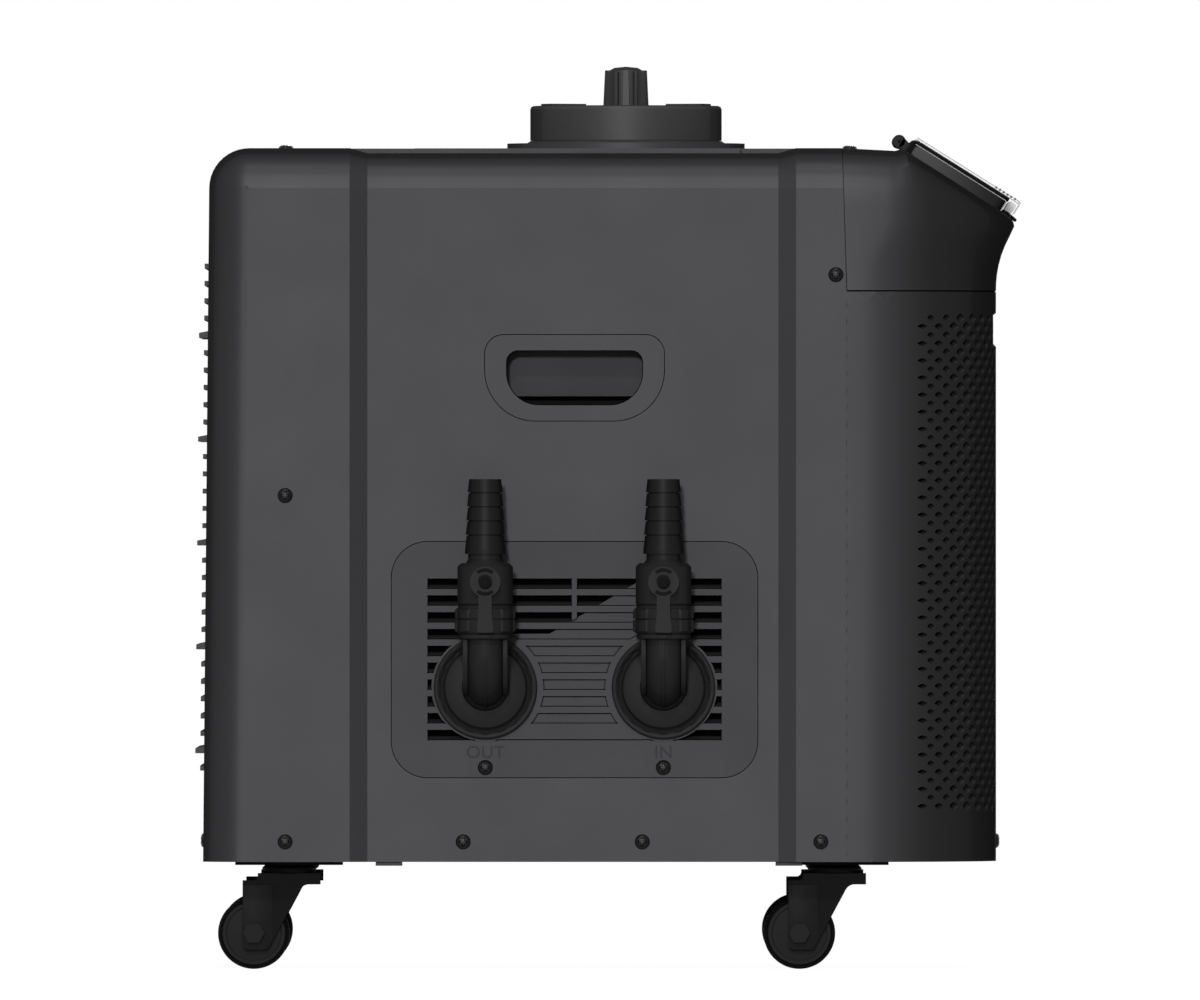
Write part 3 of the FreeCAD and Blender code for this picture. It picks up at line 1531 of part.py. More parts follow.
def heat_exchanger():
    low = pan_top()
    top = low + exchanger_height
    radius = exchanger_radius
    rim = radius + exchanger_rim
    band = exchanger_rim_height
    barrel = turned([(0, low), (rim, low), (rim, low + band), (radius, low + band + 2),
                     (radius, top - band - 2), (rim, top - band), (rim, top - 6), (radius - 6, top), (0, top)],
                    Vector(exchanger_x, exchanger_y, 0))
    return barrel.fuse([exchanger_port(outlet_z()), exchanger_port(return_z())]).removeSplitter()


def outlet_z():
    return ground_clearance + port_rise


def return_z():
    return outlet_z() + return_rise


def pump_z():
    return pan_top() + pump_rise


def water_pump():
    centre = Vector(pump_x, exchanger_y, pump_z())
    volute_end = centre + along_x * pump_volute_length
    volute = rod(centre, volute_end, pump_radius + pump_volute_rim)
    motor = rod(volute_end, centre + along_x * pump_length, pump_radius)
    inlet = rod(centre - along_x * 8, centre, water_pipe_radius + pipe_socket)
    spout = centre + along_x * (pump_volute_length / 2)
    outlet = rod(spout + up * (pump_radius - 4), spout + up * (pump_radius + pump_spout), water_pipe_radius - 1)
    foot = box(pump_x + pump_volute_length + 6, pump_x + pump_length - 6, exchanger_y - pump_foot_half,
               exchanger_y + pump_foot_half, pan_top(), pump_z() - pump_radius + 6)
    return fused([volute, motor, inlet, outlet, foot])


def mitred_pipe(points, radius):
    # Straight lengths that meet in mitred elbows.
    path = Part.makePolygon(points)
    first = points[1] - points[0]
    ring = Part.Wire(Part.makeCircle(radius, points[0], first))
    return Part.Wire(path.Edges).makePipeShell([ring], True, False, 1)


def water_pipes():
    low_bowl = top_z - filter_bowl_depth
    tail_y = -belt_y + tail_length
    port_z = outlet_z()
    inlet = [Vector(port_x[1], tail_y, port_z), Vector(port_x[1], bowl_inlet_y, port_z),
             Vector(port_x[1], bowl_inlet_y, low_bowl)]
    drop_x = filter_x - bowl_outlet_offset
    suction = [Vector(drop_x, 0, low_bowl), Vector(drop_x, 0, pump_z()), Vector(drop_x, exchanger_y, pump_z()),
               Vector(pump_x - 8, exchanger_y, pump_z())]
    port_face = exchanger_x + exchanger_radius + exchanger_port_length
    spout_x = pump_x + pump_volute_length / 2
    feed = [Vector(spout_x, exchanger_y, pump_z() + pump_radius + pump_spout),
            Vector(spout_x, exchanger_y, return_z()), Vector(port_face, exchanger_y, return_z())]
    outlet = [Vector(port_x[0], tail_y, port_z), Vector(port_x[0], exchanger_y, port_z),
              Vector(port_face, exchanger_y, port_z)]
    return Part.makeCompound([mitred_pipe(route, water_pipe_radius) for route in (inlet, suction, feed, outlet)])


def drier_middle():
    return Vector(shroud_front_x() - copper_riser_gap, drier_y, pan_top() + drier_rise)


def filter_drier():
    start = drier_middle() - along_x * (drier_length / 2)
    neck = copper_radius + 1
    return turned([(0, 0), (neck, 0), (drier_radius, drier_cone), (drier_radius, drier_length - drier_cone),
                   (neck, drier_length), (0, drier_length)], start, along_x)


def refrigerant_pipes():
    middle = drier_middle()
    condenser_x = condenser_front_x() - condenser_depth / 2
    side_y = -condenser_half_width - condenser_end_plate
    liquid = [Vector(condenser_x, side_y, middle.z), Vector(condenser_x, middle.y, middle.z),
              Vector(middle.x + drier_length / 2, middle.y, middle.z)]
    expansion = [Vector(middle.x - drier_length / 2, middle.y, middle.z), Vector(exchanger_x, middle.y, middle.z),
                 Vector(exchanger_x, exchanger_y - exchanger_radius - 0.2, middle.z)]
    compressor_top = pan_top() + grommet_height + compressor_height
    exchanger_top = pan_top() + exchanger_height
    loop_z = exchanger_top + copper_loop_rise
    suction = [Vector(exchanger_x, exchanger_y, exchanger_top), Vector(exchanger_x, exchanger_y, loop_z),
               Vector(compressor_x, compressor_y, loop_z), Vector(compressor_x, compressor_y, compressor_top)]
    condenser_top = pan_top() + condenser_height
    over_z = condenser_top + copper_over_rise
    start_z = compressor_top - discharge_drop
    riser_x = shroud_front_x() - copper_riser_gap
    discharge = [Vector(compressor_x + compressor_radius, compressor_y, start_z),
                 Vector(riser_x, compressor_y, start_z), Vector(riser_x, compressor_y, over_z),
                 Vector(condenser_x, compressor_y, over_z), Vector(condenser_x, compressor_y, condenser_top)]
    routes = (liquid, expansion, suction, discharge)
    return Part.makeCompound([mitred_pipe(route, copper_radius) for route in routes])


def electrics_box():
    outer_y = belt_y - shell_wall - loose_clearance
    middle = belt_middle_x + electrics_offset
    low = ground_clearance + electrics_rise
    return box(middle - electrics_length / 2, middle + electrics_length / 2, outer_y - electrics_depth, outer_y,
               low, low + electrics_height)


def inlet_opening(grow, y0, y1):
    return side_plate(inlet_x - inlet_width / 2 - grow, inlet_x + inlet_width / 2 + grow,
                      inlet_z - inlet_height / 2 - grow, inlet_z + inlet_height / 2 + grow,
                      inlet_corner + grow, inlet_corner + grow, y0, y1)


def power_inlet():
    # An appliance inlet with three pins, in the plain side.
    face = belt_y
    flange = inlet_opening(inlet_flange, face, face + inlet_flange_thickness)
    body = inlet_opening(0, face - inlet_depth, face)
    floor_y = face - inlet_socket_depth
    socket = inlet_opening(-inlet_wall, floor_y, face + 5)
    pins = []
    for x, z in ((-inlet_pin_spread, -1), (0, 3), (inlet_pin_spread, -1)):
        left = inlet_x + x - inlet_pin_width / 2
        low = inlet_z + z - inlet_pin_height / 2
        pins.append(box(left, left + inlet_pin_width, floor_y - 1, floor_y - 1 + inlet_pin_length,
                        low, low + inlet_pin_height))
    return fused([flange, body]).cut(socket).fuse(pins)


def main():
    os.makedirs("parts", exist_ok=True)
    save("cabinet_shell", cabinet_shell())
    save("hood", hood())
    save("front_grille", front_grille())
    save("rear_louvre_panel", rear_louvre_panel())
    save("port_panel", port_panel())
    save("base_pan", base_pan())
    cup = handle_cup()
    save("handle_cup_valve_side", cup)
    save("handle_cup_plain_side", mirrored(cup))
    save("cabinet_screws", Part.makeCompound([screw(*place) for place in screw_places()]))
    save("caster_plates", caster_plates())
    for end, x in zip(("rear", "front"), caster_x):
        for side, y in (("valve", -caster_y), ("plain", caster_y)):
            name = end + "_" + side + "_side"
            save("caster_fork_" + name, caster_fork(x, y))
            save("caster_wheel_" + name, caster_wheel(x, y))
            save("caster_axle_" + name, caster_axle(x, y))
    for port, x in zip(("outlet", "inlet"), port_x):
        save(port + "_disc", port_disc(x))
        save(port + "_elbow", elbow(x))
        save(port + "_union_nut", union_nut(x))
        save(port + "_valve_body", valve_body(x))
        save(port + "_valve_ball", valve_ball(x))
        save(port + "_valve_lever", valve_lever(x))
        save(port + "_hose_barb", hose_barb(x))
    save("filter_bowl", filter_bowl())
    save("filter_seal", filter_seal())
    save("filter_lid", filter_lid())
    save("filter_knob", filter_knob())
    save("filter_cartridge", filter_cartridge())
    save("display_box", display_box())
    save("display_panel", display_panel())
    save("display_gasket", display_gasket())
    save("clear_cover", clear_cover())
    save("cover_pin", cover_pin())
    save("condenser", condenser())
    save("fan_shroud", fan_shroud())
    save("fan_motor", fan_motor())
    save("fan_rotor", fan_rotor())
    save("compressor", compressor())
    save("compressor_grommets", compressor_grommets())
    save("heat_exchanger", heat_exchanger())
    save("water_pump", water_pump())
    save("water_pipes", water_pipes())
    save("filter_drier", filter_drier())
    save("refrigerant_pipes", refrigerant_pipes())
    save("electrics_box", electrics_box())
    save("power_inlet", power_inlet())


main()
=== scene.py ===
import math

import bmesh
import bpy
from mathutils import Matrix, Vector


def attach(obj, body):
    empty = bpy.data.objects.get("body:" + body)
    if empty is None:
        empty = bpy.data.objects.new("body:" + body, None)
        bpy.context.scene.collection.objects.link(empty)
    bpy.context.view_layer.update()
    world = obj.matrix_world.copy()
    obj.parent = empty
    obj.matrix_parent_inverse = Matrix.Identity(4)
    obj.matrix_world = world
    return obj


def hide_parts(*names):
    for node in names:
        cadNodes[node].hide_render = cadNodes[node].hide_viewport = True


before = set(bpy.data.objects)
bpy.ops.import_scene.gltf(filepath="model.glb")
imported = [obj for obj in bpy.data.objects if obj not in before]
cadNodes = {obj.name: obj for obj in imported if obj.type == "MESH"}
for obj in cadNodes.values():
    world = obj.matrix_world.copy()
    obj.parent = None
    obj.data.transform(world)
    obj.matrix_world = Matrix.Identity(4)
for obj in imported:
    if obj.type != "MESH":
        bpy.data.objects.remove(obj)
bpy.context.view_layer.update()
print("stage: frame loaded,", len(cadNodes), "nodes")

mm = 0.001


# Mesh helpers

def smoothMesh(mesh, sharpDegrees):
    mesh.polygons.foreach_set("use_smooth", [True] * len(mesh.polygons))
    mesh.set_sharp_from_angle(angle=math.radians(sharpDegrees))


def newPiece(name, bm, body, material, sharpDegrees=32, flip=True):
    if flip:
        bmesh.ops.recalc_face_normals(bm, faces=bm.faces[:])
    mesh = bpy.data.meshes.new(name)
    bm.to_mesh(mesh)
    bm.free()
    mesh.materials.append(materials[material])
    smoothMesh(mesh, sharpDegrees)
    piece = bpy.data.objects.new(name, mesh)
    bpy.context.scene.collection.objects.link(piece)
    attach(piece, body)
    return piece


def applyModifiers(piece):
    # leaves the finished mesh on the piece, with no modifier
    depsgraph = bpy.context.evaluated_depsgraph_get()
    mesh = bpy.data.meshes.new_from_object(piece.evaluated_get(depsgraph))
    old = piece.data
    piece.modifiers.clear()
    piece.data = mesh
    bpy.data.meshes.remove(old)


def ringStrip(bm, rows, closed):
    # joins rows of vertices, each of the same length, with quads
    for low, high in zip(rows, rows[1:]):
        count = len(low)
        for i in range(count if closed else count - 1):
            j = (i + 1) % count
            bm.faces.new((low[i], low[j], high[j], high[i]))


def closedStack(bm, rows):
    # rows of vertices joined round, with a face on the first and on the last
    ringStrip(bm, rows, True)
    bm.faces.new(rows[0][::-1])
    bm.faces.new(rows[-1])


def turnedRows(bm, profile, centre, axis, segments):
    # (radius, distance along axis) points in mm, turned about an axis through a centre in metres
    turn = Vector((0, 0, 1)).rotation_difference(Vector(axis)).to_matrix()
    rows = []
    for radius, along in profile:
        row = []
        for i in range(segments):
            angle = 2 * math.pi * i / segments
            local = Vector((radius * mm * math.cos(angle), radius * mm * math.sin(angle), along * mm))
            row.append(bm.verts.new(Vector(centre) + turn @ local))
        rows.append(row)
    ringStrip(bm, rows, True)
    return rows


def turnedRing(bm, profile, centre, axis, segments):
    # a turned profile whose last point meets its first
    rows = turnedRows(bm, profile, centre, axis, segments)
    ringStrip(bm, [rows[-1], rows[0]], True)


def roundedPath(points, radii, steps=5):
    # a closed outline of (x, z) points with rounded corners
    path = []
    for i, (point, radius) in enumerate(zip(points, radii)):
        here = Vector(point)
        if radius == 0:
            path.append(here)
            continue
        before = (Vector(points[i - 1]) - here).normalized()
        after = (Vector(points[(i + 1) % len(points)]) - here).normalized()
        half = before.angle(after) / 2
        centre = here + (before + after).normalized() * radius / math.sin(half)
        start = here + before * radius / math.tan(half) - centre
        end = here + after * radius / math.tan(half) - centre
        for step in range(steps + 1):
            path.append(centre + start.lerp(end, step / steps).normalized() * radius)
    return path


def sidePrism(bm, outline, y0, y1):
    # an outline of (x, z) points in mm, pushed along Y
    closedStack(bm, [[bm.verts.new(Vector((x, y, z)) * mm) for x, z in outline] for y in (y0, y1)])


def softened(bm, width):
    bmesh.ops.recalc_face_normals(bm, faces=bm.faces[:])
    bm.normal_update()
    sharp = [edge for edge in bm.edges if edge.is_manifold and edge.calc_face_angle(0) > math.radians(35)]
    bmesh.ops.bevel(bm, geom=sharp, offset=width * mm, segments=2, affect="EDGES", profile=0.5,
                    clamp_overlap=True)


# Shared finish effects

def newGroup(name, inputs, outputs):
    group = bpy.data.node_groups.new(name, "ShaderNodeTree")
    for label, kind, value in inputs:
        socket = group.interface.new_socket(name=label, in_out="INPUT", socket_type=kind)
        socket.default_value = value
    for label, kind in outputs:
        group.interface.new_socket(name=label, in_out="OUTPUT", socket_type=kind)
    return group, group.nodes.new("NodeGroupInput"), group.nodes.new("NodeGroupOutput")


def mathNode(tree, operation, first, second=None):
    node = tree.nodes.new("ShaderNodeMath")
    node.operation = operation
    for socket, value in zip(node.inputs, (first, second)):
        if isinstance(value, (int, float)):
            socket.default_value = value
        elif value is not None:
            tree.links.new(value, socket)
    return node.outputs[0]


def noiseNode(tree, scale, detail, coordinates):
    node = tree.nodes.new("ShaderNodeTexNoise")
    node.inputs["Detail"].default_value = detail
    if isinstance(scale, (int, float)):
        node.inputs["Scale"].default_value = scale
    else:
        tree.links.new(scale, node.inputs["Scale"])
    tree.links.new(coordinates, node.inputs["Vector"])
    return node.outputs["Fac"]


def objectPlace(tree):
    return tree.nodes.new("ShaderNodeTexCoord").outputs["Object"]


def scaledColour(tree, colour, factor):
    node = tree.nodes.new("ShaderNodeVectorMath")
    node.operation = "SCALE"
    tree.links.new(colour, node.inputs[0])
    tree.links.new(factor, node.inputs["Scale"])
    return node.outputs[0]


def makeMouldGrain():
    # the fine spark texture of a moulded face: cells broken up by noise
    group, start, end = newGroup("mouldGrain", [("Scale", "NodeSocketFloat", 900.0)],
                                 [("Height", "NodeSocketFloat")])
    where = objectPlace(group)
    cells = group.nodes.new("ShaderNodeTexVoronoi")
    group.links.new(start.outputs["Scale"], cells.inputs["Scale"])
    group.links.new(where, cells.inputs["Vector"])
    rough = noiseNode(group, mathNode(group, "MULTIPLY", start.outputs["Scale"], 1.7), 3.0, where)
    mixed = mathNode(group, "MULTIPLY", cells.outputs["Distance"], rough)
    group.links.new(mixed, end.inputs["Height"])
    return group


def makeToneDrift():
    # slow cloudy drift of the colour, with a little speckle
    group, start, end = newGroup("toneDrift", [("Colour", "NodeSocketColor", (0.5, 0.5, 0.5, 1)),
                                               ("Amount", "NodeSocketFloat", 0.08)],
                                 [("Colour", "NodeSocketColor")])
    where = objectPlace(group)
    cloud = noiseNode(group, 9.0, 4.0, where)
    speckle = noiseNode(group, 1400.0, 1.0, where)
    drift = mathNode(group, "ADD", mathNode(group, "SUBTRACT", cloud, 0.5),
                     mathNode(group, "MULTIPLY", mathNode(group, "SUBTRACT", speckle, 0.5), 0.8))
    factor = mathNode(group, "ADD", mathNode(group, "MULTIPLY", drift, start.outputs["Amount"]), 1.0)
    group.links.new(scaledColour(group, start.outputs["Colour"], factor), end.inputs["Colour"])
    return group


def makeHandledGloss():
    # roughness that wanders where hands and cloths have been
    group, start, end = newGroup("handledGloss", [("Roughness", "NodeSocketFloat", 0.5),
                                                  ("Spread", "NodeSocketFloat", 0.06)],
                                 [("Roughness", "NodeSocketFloat")])
    where = objectPlace(group)
    smear = noiseNode(group, 22.0, 5.0, where)
    shift = mathNode(group, "MULTIPLY", mathNode(group, "SUBTRACT", smear, 0.5), start.outputs["Spread"])
    group.links.new(mathNode(group, "ADD", shift, start.outputs["Roughness"]), end.inputs["Roughness"])
    return group


def makeEdgeRub():
    # a thin lighter line where an outer edge is rubbed
    group, start, end = newGroup("edgeRub", [("Colour", "NodeSocketColor", (0.5, 0.5, 0.5, 1)),
                                             ("Rubbed", "NodeSocketColor", (0.6, 0.6, 0.6, 1)),
                                             ("Amount", "NodeSocketFloat", 0.3)],
                                 [("Colour", "NodeSocketColor")])
    point = group.nodes.new("ShaderNodeNewGeometry").outputs["Pointiness"]
    edge = mathNode(group, "MULTIPLY", mathNode(group, "SUBTRACT", point, 0.53), 9.0)
    where = objectPlace(group)
    broken = mathNode(group, "MULTIPLY", edge, noiseNode(group, 160.0, 3.0, where))
    mask = mathNode(group, "MULTIPLY", broken, start.outputs["Amount"])
    mix = group.nodes.new("ShaderNodeMix")
    mix.data_type = "RGBA"
    mix.clamp_factor = True
    group.links.new(mask, mix.inputs["Factor"])
    group.links.new(start.outputs["Colour"], mix.inputs["A"])
    group.links.new(start.outputs["Rubbed"], mix.inputs["B"])
    group.links.new(mix.outputs["Result"], end.inputs["Colour"])
    return group


def makePaintedShadeRamp():
    # painted shade: darkens a colour from one distance to another along one axis, in place of the light's
    # falloff there
    group, start, end = newGroup("paintedShadeRamp", [("Colour", "NodeSocketColor", (0.5, 0.5, 0.5, 1)),
                                                ("Along", "NodeSocketFloat", 0.0),
                                                ("Start", "NodeSocketFloat", 0.0),
                                                ("End", "NodeSocketFloat", 1.0),
                                                ("Dark", "NodeSocketFloat", 0.5)],
                                 [("Colour", "NodeSocketColor")])
    ramp = group.nodes.new("ShaderNodeMapRange")
    ramp.interpolation_type = "SMOOTHSTEP"
    ramp.inputs["To Min"].default_value = 1.0
    group.links.new(start.outputs["Along"], ramp.inputs["Value"])
    group.links.new(start.outputs["Start"], ramp.inputs["From Min"])
    group.links.new(start.outputs["End"], ramp.inputs["From Max"])
    group.links.new(start.outputs["Dark"], ramp.inputs["To Max"])
    shaded = scaledColour(group, start.outputs["Colour"], ramp.outputs["Result"])
    group.links.new(shaded, end.inputs["Colour"])
    return group


mouldGrain = makeMouldGrain()
toneDrift = makeToneDrift()
handledGloss = makeHandledGloss()
edgeRub = makeEdgeRub()
paintedShadeRamp = makePaintedShadeRamp()


def placeGroup(tree, group, **values):
    node = tree.nodes.new("ShaderNodeGroup")
    node.node_tree = group
    for label, value in values.items():
        node.inputs[label].default_value = value
    return node


def shadedMaterial(name, look):
    # a shader with drifting colour, wandering gloss, rubbed edges and a fine grain, and a painted shade where
    # the look gives one
    material = bpy.data.materials.new(name)
    material.use_nodes = True
    tree = material.node_tree
    shader = tree.nodes["Principled BSDF"]
    shader.inputs["Metallic"].default_value = look.get("metallic", 0.0)
    shader.inputs["Specular IOR Level"].default_value = look.get("specular", 0.3)
    shader.inputs["Specular Tint"].default_value = look.get("rim", (1, 1, 1, 1))
    colour = look["colour"] + (1,)
    rubbed = tuple(min(1, c * look.get("rubbedBy", 1.8)) for c in look["colour"]) + (1,)
    tone = placeGroup(tree, toneDrift, Colour=colour, Amount=look.get("drift", 0.1))
    rub = placeGroup(tree, edgeRub, Rubbed=rubbed, Amount=look.get("rub", 0.3))
    gloss = placeGroup(tree, handledGloss, Roughness=look["roughness"], Spread=look.get("spread", 0.06))
    grain = placeGroup(tree, mouldGrain, Scale=look.get("grain", 900.0))
    bump = tree.nodes.new("ShaderNodeBump")
    bump.inputs["Strength"].default_value = look.get("bump", 0.25)
    bump.inputs["Distance"].default_value = look.get("depth", 0.0002)
    tree.links.new(tone.outputs["Colour"], rub.inputs["Colour"])
    finalColour = rub.outputs["Colour"]
    if "paintedShade" in look:
        axis, near, far, dark = look["paintedShade"]
        paintedShade = placeGroup(tree, paintedShadeRamp, Start=near, End=far, Dark=dark)
        split = tree.nodes.new("ShaderNodeSeparateXYZ")
        tree.links.new(objectPlace(tree), split.inputs[0])
        tree.links.new(mathNode(tree, "ABSOLUTE", split.outputs[axis]), paintedShade.inputs["Along"])
        tree.links.new(finalColour, paintedShade.inputs["Colour"])
        finalColour = paintedShade.outputs["Colour"]
    tree.links.new(finalColour, shader.inputs["Base Color"])
    tree.links.new(gloss.outputs["Roughness"], shader.inputs["Roughness"])
    tree.links.new(grain.outputs["Height"], bump.inputs["Height"])
    tree.links.new(bump.outputs["Normal"], shader.inputs["Normal"])
    return material


# Finishes of this chiller

# what several finishes share
matt = {"specular": 0.0, "rim": (0, 0, 0, 1)}
moulded = {"roughness": 0.44, "metallic": 0.56, "grain": 1100.0, "bump": 0.1, "rub": 0.1, **matt}
fitting = {"roughness": 0.5, "metallic": 0.4, "rub": 0.25, **matt}
dull = {"roughness": 0.5, "metallic": 0.3, **matt}
# a painted shade takes the colour down to a share of itself, between two distances in metres along an axis,
# in place of the light's falloff
finishes = {
    "cabinetGrey": {"colour": (0.0262, 0.0262, 0.0276), **moulded},
    "panelGrey": {"colour": (0.0226, 0.0226, 0.0238), **moulded},
    # painted shade: hood and grille darken toward the front corner and face, in place of the light's falloff
    # round the corner
    "frontGreyPaintedShade": {"colour": (0.0262, 0.0262, 0.0276), **moulded, "paintedShade": ("X", 0.2, 0.236, 0.62)},
    "wordGrey": {"colour": (0.0198, 0.0198, 0.0208), "roughness": 0.5, "metallic": 0.5, **matt,
                 "bump": 0.1},
    # painted shade: the hand holds darken inward, in place of the shade deep in their recess
    "cupGreyPaintedShade": {"colour": (0.0262, 0.0262, 0.0276), **moulded, "paintedShade": ("Y", 0.1945, 0.169, 0.68)},
    "fittingBlack": {"colour": (0.0145, 0.0145, 0.0151), **fitting, "bump": 0.15},
    "barbBlack": {"colour": (0.0107, 0.0107, 0.0111), "roughness": 0.48, "metallic": 0.5, **matt,
                  "bump": 0.12, "rub": 0.2},
    "leverBlack": {"colour": (0.0138, 0.0138, 0.0143), **fitting, "bump": 0.12},
    "filterBlack": {"colour": (0.042, 0.042, 0.0434), **fitting, "bump": 0.1, "rub": 0.15},
    "casterBlack": {"colour": (0.0094, 0.0094, 0.0098), **dull, "bump": 0.1},
    "forkBlack": {"colour": (0.0058, 0.0058, 0.006), **dull, "bump": 0.1},
    "plateBlack": {"colour": (0.0024, 0.0024, 0.0025), "roughness": 0.55, "specular": 0.03, "bump": 0.1},
    "treadRubber": {"colour": (0.0024, 0.0024, 0.0025), "roughness": 0.65, "specular": 0.02,
                    "grain": 500.0, "bump": 0.3},
    "wheelDisc": {"colour": (0.0108, 0.0108, 0.0112), **dull, "bump": 0.12},
    "brightTrim": {"colour": (0.22, 0.22, 0.228), "roughness": 0.5, "bump": 0.02, "rub": 0.1},
    # painted shade: the frosted grip darkens toward its rear side, in place of the light's falloff across it
    "frostedGripPaintedShade": {"colour": (0.5, 0.51, 0.52), "roughness": 0.5, "specular": 0.2, "bump": 0.0,
                    "rub": 0.0, "paintedShade": ("X", 0.2925, 0.283, 0.35)},
    "screwBlack": {"colour": (0.0013, 0.0013, 0.0013), "roughness": 0.35, "specular": 0.14, "bump": 0.05},
    # painted shade: the control box darkens toward its lower front end, in place of the light's falloff along
    # it
    "displayBlackPaintedShade": {"colour": (0.0388, 0.0388, 0.04), **dull, "bump": 0.1,
                     "paintedShade": ("X", 0.222, 0.282, 0.3)},
    "sealRubber": {"colour": (0.002, 0.002, 0.002), "roughness": 0.6, "specular": 0.04, "bump": 0.1},
    "panSteel": {"colour": (0.02, 0.02, 0.021), "roughness": 0.5, "specular": 0.2, "bump": 0.3,
                 "grain": 500.0},
    "innerBlack": {"colour": (0.0012, 0.0012, 0.0012), "roughness": 0.8, "specular": 0.0, "bump": 0.3,
                   "grain": 300.0},
    "ballWhite": {"colour": (0.6, 0.6, 0.6), "roughness": 0.25, "bump": 0.02},
    "pleatedPaper": {"colour": (0.75, 0.75, 0.72), "roughness": 0.8, "bump": 0.4, "grain": 400.0},
    # dark strips drawn along the clear cover's sides, end and ribs
    "darkCoverEdge": {"colour": (0.014, 0.014, 0.015), "roughness": 0.35, "specular": 0.3, "bump": 0.05},
    "touchGlass": {"colour": (0.004, 0.004, 0.005), "roughness": 0.08, "specular": 0.5, "spread": 0.04,
                   "bump": 0.0, "rub": 0.0},
    "enamelBlack": {"colour": (0.004, 0.004, 0.004), "roughness": 0.3, "specular": 0.2, "bump": 0.03},
}
materials = {name: shadedMaterial(name, look) for name, look in finishes.items()}


def clearPlastic():
    # thin clear plastic: see-through face on, darker where it is seen edge on
    look = {"colour": (0.6, 0.62, 0.64, 1), "edgeColour": (0.02, 0.02, 0.022, 1), "roughness": 0.08,
            "faceAlpha": 0.03, "edgeAlpha": 0.5, "blend": 0.25}
    material = bpy.data.materials.new("clearPlastic")
    material.use_nodes = True
    tree = material.node_tree
    shader = tree.nodes["Principled BSDF"]
    shader.inputs["Specular IOR Level"].default_value = 0.5
    tone = placeGroup(tree, toneDrift, Colour=look["colour"], Amount=0.03)
    gloss = placeGroup(tree, handledGloss, Roughness=look["roughness"], Spread=0.05)
    facing = tree.nodes.new("ShaderNodeLayerWeight")
    facing.inputs["Blend"].default_value = look["blend"]
    edge = mathNode(tree, "POWER", facing.outputs["Facing"], 3.0)
    mix = tree.nodes.new("ShaderNodeMix")
    mix.data_type = "RGBA"
    tree.links.new(edge, mix.inputs["Factor"])
    tree.links.new(tone.outputs["Colour"], mix.inputs["A"])
    mix.inputs["B"].default_value = look["edgeColour"]
    alpha = mathNode(tree, "ADD", mathNode(tree, "MULTIPLY", edge, look["edgeAlpha"]), look["faceAlpha"])
    tree.links.new(mix.outputs["Result"], shader.inputs["Base Color"])
    tree.links.new(gloss.outputs["Roughness"], shader.inputs["Roughness"])
    tree.links.new(alpha, shader.inputs["Alpha"])
    return material


materials["clearPlastic"] = clearPlastic()

casterEnds = [end + "_" + side + "_side" for end in ("rear", "front") for side in ("valve", "plain")]
nodesOfFinish = {
    "cabinetGrey": ["cabinet_shell", "rear_louvre_panel"],
    "frontGreyPaintedShade": ["hood", "front_grille"],
    "panelGrey": ["port_panel"],
    "cupGreyPaintedShade": ["handle_cup_valve_side", "handle_cup_plain_side"],
    "panSteel": ["base_pan"],
    "screwBlack": ["cabinet_screws"],
    "plateBlack": ["caster_plates", "cover_pin"],
    "forkBlack": ["caster_fork_" + end for end in casterEnds],
    "wheelDisc": ["caster_wheel_" + end for end in casterEnds],
    "casterBlack": ["caster_axle_" + end for end in casterEnds],
    "filterBlack": ["filter_bowl", "filter_lid", "filter_knob"],
    "pleatedPaper": ["filter_cartridge"],
    "displayBlackPaintedShade": ["display_box"],
    "touchGlass": ["display_panel"],
    "clearPlastic": ["clear_cover"],
    "sealRubber": ["filter_seal", "display_gasket", "compressor_grommets"],
    "fittingBlack": ["power_inlet"] + [port + "_" + piece for port in ("outlet", "inlet")
                                       for piece in ("disc", "elbow", "union_nut", "valve_body")],
    "leverBlack": ["outlet_valve_lever", "inlet_valve_lever"],
    "barbBlack": ["outlet_hose_barb", "inlet_hose_barb"],
    "ballWhite": ["outlet_valve_ball", "inlet_valve_ball"],
    "enamelBlack": ["fan_motor", "compressor"],
    "innerBlack": ["condenser", "fan_shroud", "fan_rotor", "heat_exchanger", "water_pump", "water_pipes",
                   "filter_drier", "refrigerant_pipes", "electrics_box"],
}
finishOfNode = {name: finish for finish, names in nodesOfFinish.items() for name in names}
for name, node in cadNodes.items():
    node.data.materials.clear()
    node.data.materials.append(materials[finishOfNode[name]])
print("stage: finishes on every CAD node")


# Hood over the grille, with the large rounding between its top and its sides

hoodShape = {"seamTopX": 168.3, "seamX": 171.5, "gap": 0.5, "lineZ": 472.5, "topZ": 572.0, "breakX": 213.5,
             "breakDrop": 2.3, "slope": 32.1, "frontX": 276.5, "half": 200.0, "corner": 96.0, "reach": 12.7,
             "rise": 43.9, "rearRound": 28.0, "frontRound": 8.0, "wall": 3.0, "arcSteps": 8,
             "cornerSteps": 26}
hoodLip = {"outer": 0.6, "inner": 5.4, "high": 478.0, "low": 463.0}


def hoodTop(x):
    h = hoodShape
    if x < h["breakX"]:
        return h["topZ"] - h["breakDrop"] * (x - h["seamTopX"]) / (h["breakX"] - h["seamTopX"])
    return h["topZ"] - h["breakDrop"] - (x - h["breakX"]) * math.tan(math.radians(h["slope"]))


def hoodReach(z):
    share = min(1, max(0, (z - hoodShape["lineZ"]) / hoodShape["rise"]))
    return hoodShape["reach"] * share ** 2.2


